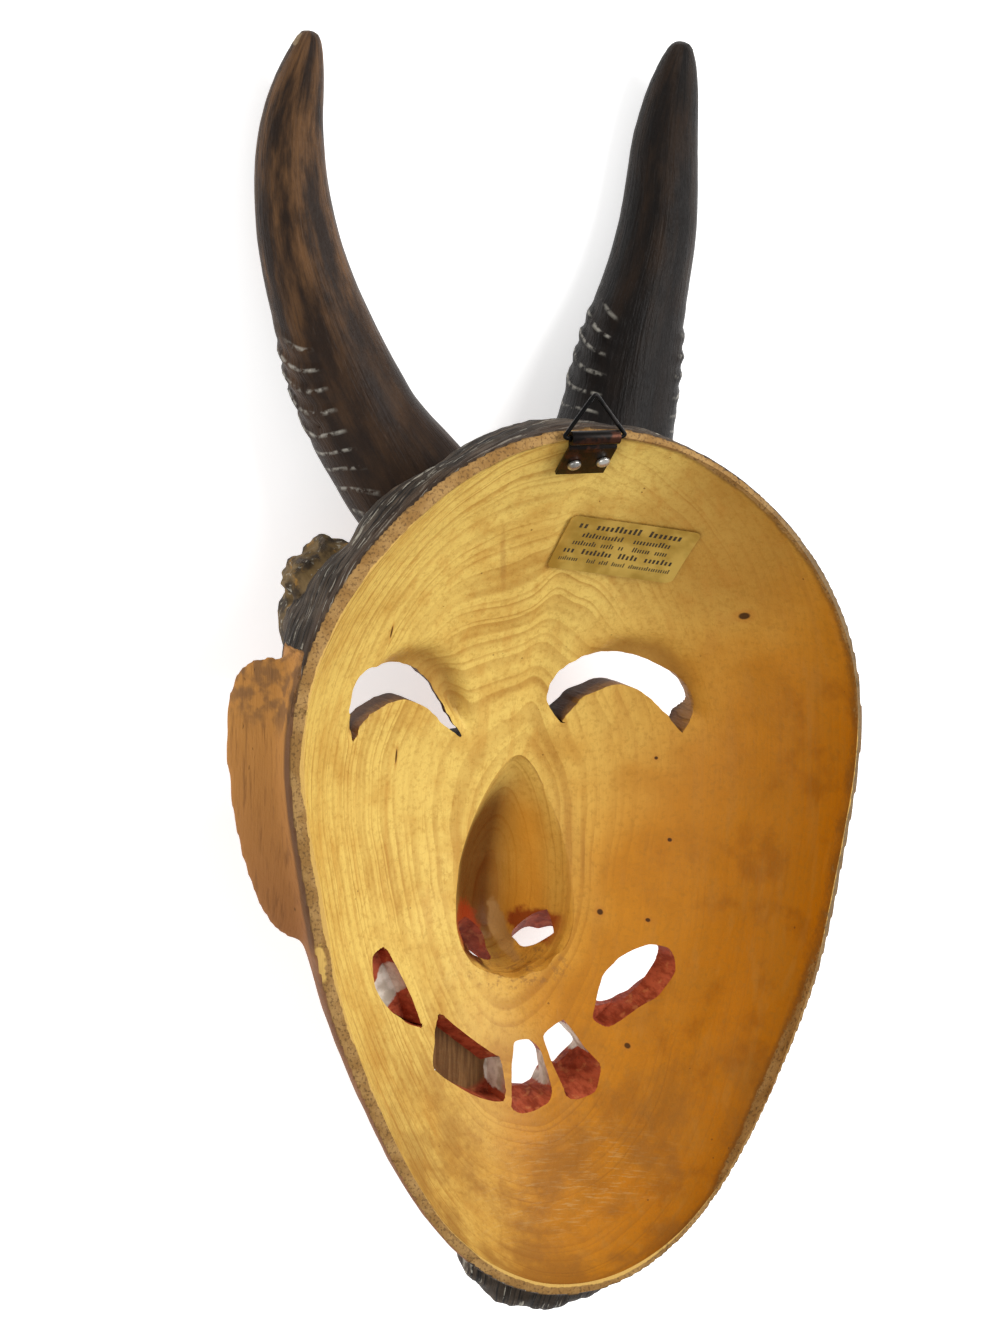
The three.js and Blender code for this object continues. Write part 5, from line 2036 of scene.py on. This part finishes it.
@dataclass
class Hanger:
    """The folded strap, its two nails and the wire ring that swings in its fold."""

    strap_metal: Material
    wire_metal: Material
    nail_metal: Material
    width: float = 19.0
    thickness: float = 1.6
    above_wood: float = 0.9
    middle_x: float = 1.5
    foot_y: float = 147.0
    fold_radius: float = 2.6
    wire_radius: float = 0.8
    ring_base: float = 23.5
    ring_height: float = 15.5
    nails: tuple[tuple[str, float, float], ...] = (("nail_left", -3.0, 0.42), ("nail_right", 8.0, 0.5))

    def __post_init__(self) -> None:
        """Finds the slope of wood that the strap lies on, and the middle of its fold."""
        self.head_y = float(FACE.radius(math.pi / 2)) - FACE.rim_width
        self.foot_z = float(FACE.hollow(self.middle_x, self.foot_y))
        slope = np.array([self.head_y - self.foot_y, RIM - self.foot_z])
        self.slope = slope
        unit = slope / np.linalg.norm(slope)
        self.out = np.array([-unit[1], unit[0]])
        self.fold_y = self.head_y + 2.4
        self.fold_z = RIM + 0.3 + self.fold_radius

    def strap(self) -> Thing:
        """The strap: a leg down the slope and a fold round the wire, with softened edges.

        Returns:
            The piece.
        """
        foot = np.array([self.foot_y, self.foot_z]) + self.out * self.above_wood
        head = np.array([self.head_y, RIM]) + self.out * self.above_wood
        turn = np.linspace(math.radians(232), math.radians(-118), 40)
        fold = np.array([self.fold_y, self.fold_z])
        circle = np.column_stack([np.cos(turn), np.sin(turn)])
        inner_radius = self.wire_radius + 0.45
        outline = np.vstack([
            foot, head, fold + self.fold_radius * circle[::-1], fold + inner_radius * circle,
            head + self.out * self.thickness, foot + self.out * self.thickness,
        ])
        half = self.width / 2
        points, faces = prism(
            np.column_stack([np.full(len(outline), self.middle_x - half), outline]),
            np.column_stack([np.full(len(outline), self.middle_x + half), outline]),
        )
        thing = make_object("strap", points, faces, self.strap_metal)
        soften(thing, 0.25)
        return thing

    def ring(self) -> Thing:
        """The wire ring: one closed triangle with rounded corners.

        Returns:
            The piece.
        """
        half, tall = self.ring_base / 2, self.ring_height
        corners = [
            (-half + 1.5, 0), (0, 0), (half - 1.5, 0), (half, 0.9), (half - 1.2, 2.6), (1.4, tall - 1.2), (0, tall),
            (-1.4, tall - 1.2), (-half + 1.2, 2.6), (-half, 0.9),
        ]
        path = closed_curve([(self.middle_x + x, self.fold_y + y) for x, y in corners], 12, 0.3)
        ahead = np.roll(path, -1, axis=0) - np.roll(path, 1, axis=0)
        ahead /= np.linalg.norm(ahead, axis=1)[:, None]
        side = np.column_stack([-ahead[:, 1], ahead[:, 0]])
        columns = 16
        angle = 2 * np.pi * np.arange(columns) / columns
        points = []
        for spot, way in zip(path, side):
            flat = spot + self.wire_radius * np.cos(angle)[:, None] * way
            points.append(np.column_stack([flat, self.fold_z + self.wire_radius * np.sin(angle)]))
        faces: Faces = []
        for row in range(len(path)):
            here, after = row * columns, (row + 1) % len(path) * columns
            for column in range(columns):
                beside = (column + 1) % columns
                faces.append((here + column, here + beside, after + beside, after + column))
        thing = make_object("ring", np.vstack(points), faces, self.wire_metal)
        shade_smooth(thing, 60)
        return thing

    def nail(self, name: str, x: float, share: float) -> Thing:
        """A round-headed nail, square to the slope.

        Args:
            name: the piece's name.
            x: its place across the strap.
            share: its place up the slope, from 0 at the foot to 1 at the rim.

        Returns:
            The piece.
        """
        away = self.above_wood + self.thickness + 0.3
        profile = [(0.0, -10.0), (0.4, -9.0), (0.8, -8.0), (0.8, 0.0), (2.6, 0.0), (2.55, 0.35)]
        profile += [(2.6 * math.cos(t), 0.35 + 1.35 * math.sin(t)) for t in np.linspace(0.12, 1.45, 12)]
        columns = 32
        base = np.array([self.foot_y, self.foot_z]) + self.slope * share + self.out * away
        points = []
        for radius, lift in profile[1:]:
            for column in range(columns):
                turn = 2 * math.pi * column / columns
                along = base + self.out * lift + np.array([self.out[1], -self.out[0]]) * radius * math.sin(turn)
                points.append((x + radius * math.cos(turn), along[0], along[1]))
        tip = base + self.out * -10.0
        crown = base + self.out * 1.7
        points += [(x, tip[0], tip[1]), (x, crown[0], crown[1])]
        rows = len(profile) - 1
        faces: Faces = []
        for column in range(columns):
            after = (column + 1) % columns
            for row in range(rows - 1):
                here = row * columns
                faces.append((here + column, here + after, here + columns + after, here + columns + column))
            faces.append((rows * columns, column, after))
            faces.append((rows * columns + 1, (rows - 1) * columns + after, (rows - 1) * columns + column))
        thing = make_object(name, np.array(points), faces, self.nail_metal)
        shade_smooth(thing, 50)
        return thing


def soften(thing: Thing, width: float) -> None:
    """Rounds a piece's edges by a width in millimetres.

    Args:
        thing: the piece.
        width: how wide the rounding is.
    """
    bevel = thing.modifiers.new("soften", "BEVEL")
    bevel.width = width * 0.001
    bevel.segments = 2
    bevel.limit_method = "ANGLE"
    bevel.angle_limit = math.radians(50)
    apply_modifiers(thing)
    shade_smooth(thing, 35)


@dataclass
class Label:
    """A gold foil label on the hollow's floor, with rows of plain strokes in place of print."""

    foil: Material
    ink: Material
    length: float = 49.0
    width: float = 26.0
    thickness: float = 0.5
    corner: float = 2.6
    centre_x: float = 29.0
    centre_y: float = 113.0
    turn: float = math.radians(-10.5)
    squeeze: float = 0.83
    lift: float = 1.2
    ink_low: float = 1.66
    ink_high: float = 1.74
    rows: tuple[tuple[float, float, float, float], ...] = (
        (8.6, 2.9, 0.95, 19.5), (4.2, 2.4, 0.62, 16.5), (0.2, 2.3, 0.5, 18.5), (-3.8, 2.6, 0.8, 20.5),
        (-7.8, 2.0, 0.42, 21.0),
    )

    def on_hollow(self, flat: Points, lift: float) -> Points:
        """Places on the label laid onto the hollow, at a height above the wood.

        Args:
            flat: places on the label, from its middle.
            lift: the height.

        Returns:
            Places in face millimetres.
        """
        x = self.centre_x + flat[:, 0] * math.cos(self.turn) - flat[:, 1] * math.sin(self.turn)
        y = self.centre_y + (flat[:, 0] * math.sin(self.turn) + flat[:, 1] * math.cos(self.turn)) * self.squeeze
        return np.column_stack([x, y, FACE.hollow(x, y) + lift])

    def sheet(self) -> Thing:
        """The foil, with rounded corners.

        Returns:
            The piece.
        """
        columns, rows = 50, 26
        u = np.linspace(-0.5, 0.5, columns + 1) * (self.length - 0.1)
        v = np.linspace(-0.5, 0.5, rows + 1) * (self.width - 0.1)
        grid = np.array([(a, b) for b in v for a in u])
        corner = self.corner
        over = np.maximum(0, np.abs(grid) - (np.array([self.length, self.width]) / 2 - corner))
        far = np.linalg.norm(over, axis=1)
        pull = np.where(far > corner, corner / np.maximum(far, 1e-9), 1.0)
        grid = np.sign(grid) * (np.abs(grid) - over * (1 - pull)[:, None])
        count = len(grid)
        points = np.vstack([self.on_hollow(grid, self.lift), self.on_hollow(grid, self.lift + self.thickness)])
        faces: Faces = []
        stride = columns + 1
        for row in range(rows):
            for column in range(columns):
                here = row * stride + column
                quad = (here, here + 1, here + stride + 1, here + stride)
                faces += [tuple(reversed(quad)), tuple(spot + count for spot in quad)]
        edge = [*range(columns)] + [columns + row * stride for row in range(rows)]
        edge += [rows * stride + column for column in range(columns, 0, -1)]
        edge += [row * stride for row in range(rows, 0, -1)]
        for index, here in enumerate(edge):
            after = edge[(index + 1) % len(edge)]
            faces.append((here, after, after + count, here + count))
        thing = make_object("label", points, faces, self.foil)
        shade_smooth(thing, 40)
        return thing

    def strokes(self) -> Thing:
        """Five rows of short upright strokes, bolder in the first and fourth row.

        Returns:
            All the strokes as one piece.
        """
        dice = np.random.default_rng(7)
        points: list[Points] = []
        faces: Faces = []
        for middle, tall, thick, reach in self.rows:
            x = -reach
            while x < reach:
                if dice.random() < 0.13:
                    x += 2.2 * thick + 0.6
                    continue
                high = tall * (1.0 if dice.random() < 0.25 else 0.72)
                flat = np.array([
                    (x, middle - 0.36 * tall), (x + thick, middle - 0.36 * tall),
                    (x + thick, middle - 0.36 * tall + high), (x, middle - 0.36 * tall + high),
                ])
                start = 8 * len(points)
                points.append(np.vstack([self.on_hollow(flat, self.ink_low), self.on_hollow(flat, self.ink_high)]))
                faces += [tuple(start + c for c in quad) for quad in (
                    (3, 2, 1, 0), (4, 5, 6, 7), (0, 1, 5, 4), (1, 2, 6, 5), (2, 3, 7, 6), (3, 0, 4, 7))]
                x += thick * 1.75 + 0.25 * dice.random()
        return make_object("label_strokes", np.vstack(points), faces, self.ink)


# The studio


@dataclass(frozen=True)
class Studio:
    """A plain pale floor, a broad soft light and a camera that looks down into the hollow."""

    yaw: float = 22.0
    pitch: float = 9.1
    roll: float = 0.77
    distance: float = 1800.0
    aim: tuple[float, float] = (-33.3, 77.0)
    lens: float = 133.63

    def camera(self) -> None:
        """Sets the camera at the photograph's viewing angle."""
        a, e, tilt = (math.radians(value) for value in (self.yaw, self.pitch, self.roll))
        way = Vector((math.sin(a) * math.cos(e), -math.sin(e), -math.cos(a) * math.cos(e)))
        right = Vector((math.cos(a), 0, math.sin(a)))
        up = right.cross(way)
        turned_right = math.cos(tilt) * right + math.sin(tilt) * up
        turned_up = -math.sin(tilt) * right + math.cos(tilt) * up
        spot = to_scene(np.array([[self.aim[0], self.aim[1], RIM]]) - self.distance * np.array([way]))[0]
        data = bpy.data.cameras.new("camera")
        data.lens = self.lens
        data.sensor_width = 36.0
        data.clip_end = 20.0
        thing = add_object("camera", data)
        pose = Matrix((turned_right, turned_up, -way)).transposed().to_4x4()
        pose.translation = Vector(spot)
        thing.matrix_world = pose
        bpy.context.scene.camera = thing

    def floor(self) -> None:
        """A seamless pale floor."""
        recipe = Recipe("pale_floor")
        material = recipe.finish((0.9, 0.9, 0.9, 1.0), 0.7, emission_strength=0.55)
        recipe.shader.inputs["Emission Color"].default_value = (1, 1, 1, 1)
        mesh = bpy.data.meshes.new("floor")
        mesh.from_pydata([(-4, -4, 0), (4, -4, 0), (4, 4, 0), (-4, 4, 0)], [], [(0, 1, 2, 3)])
        mesh.materials.append(material)
        add_object("floor", mesh)

    def lights(self) -> None:
        """A large overhead panel, a softer fill and an even surround."""
        for name, spot, size, power in (
            ("key", (1.0, 0.7, 1.35), 1.1, 26.0), ("fill", (-1.1, -0.4, 1.3), 1.2, 7.0),
        ):
            lamp = bpy.data.lights.new(name, "AREA")
            lamp.shape = "DISK"
            lamp.size = size
            lamp.energy = power
            thing = add_object(name, lamp)
            thing.location = spot
            thing.rotation_euler = (Vector((0, 0, 0.05)) - Vector(spot)).to_track_quat("-Z", "Y").to_euler()
        world = bpy.data.worlds.new("surround")
        world.use_nodes = True
        background = next(n for n in world.node_tree.nodes if n.type == "BACKGROUND")
        background.inputs[0].default_value = (1.0, 1.0, 1.0, 1.0)
        background.inputs[1].default_value = 0.55
        bpy.context.scene.world = world
        bpy.context.scene.view_settings.view_transform = "Standard"

    def build(self) -> None:
        """Sets the whole studio."""
        self.camera()
        self.floor()
        self.lights()


def settle(piece: Thing, body: str, slot: str, *nodes: str) -> None:
    """Makes a piece ride on its body and lets it stand for CAD nodes.

    Args:
        piece: the piece.
        body: the body it moves with.
        slot: not used.
        nodes: the CAD nodes it stands for.
    """
    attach(piece, body)
    if nodes:
        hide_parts(*nodes)
    LOG.info("%s rides on %s", piece.name, body)


def main() -> None:
    """Builds the mask, its hanger and its label, and sets the studio."""
    logging.basicConfig(level=logging.INFO, format="%(name)s: %(message)s")
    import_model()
    Studio().build()
    finishes = {
        Finish.PAINTED: CarvedPaint().build(),
        Finish.HOLLOW: BareLimewood().build(),
        Finish.REVEAL: EyeReveal().build(),
        Finish.MOUTH: MouthPaint().build(),
    }
    settle(CarvedMask(finishes).build(), "mask", "limewood", "mask")
    iron = Metal("blackened_strap_iron", "#15110F", "#4A2A1C", 0.8, 0.38).build()
    wire = Metal("blackened_wire", "#0E0D0D", "#2B2725", 0.6, 0.36).build()
    steel = Metal("bright_nail_steel", "#8E8C88", "#D8D5CE", 0.9, 0.28).build()
    hanger = Hanger(iron, wire, steel)
    settle(hanger.strap(), "mask", "strap_iron", "hanger_strap")
    settle(hanger.ring(), "ring", "ring_wire", "hanger_ring")
    for name, x, share in hanger.nails:
        settle(hanger.nail(name + "_round", x, share), "mask", "nail_steel", name)
    label = Label(GoldFoil().build(), PrintedInk().build())
    settle(label.sheet(), "mask", "label_foil", "label_sticker")
    settle(label.strokes(), "mask", "label_foil")


if __name__ == "__main__":
    main()
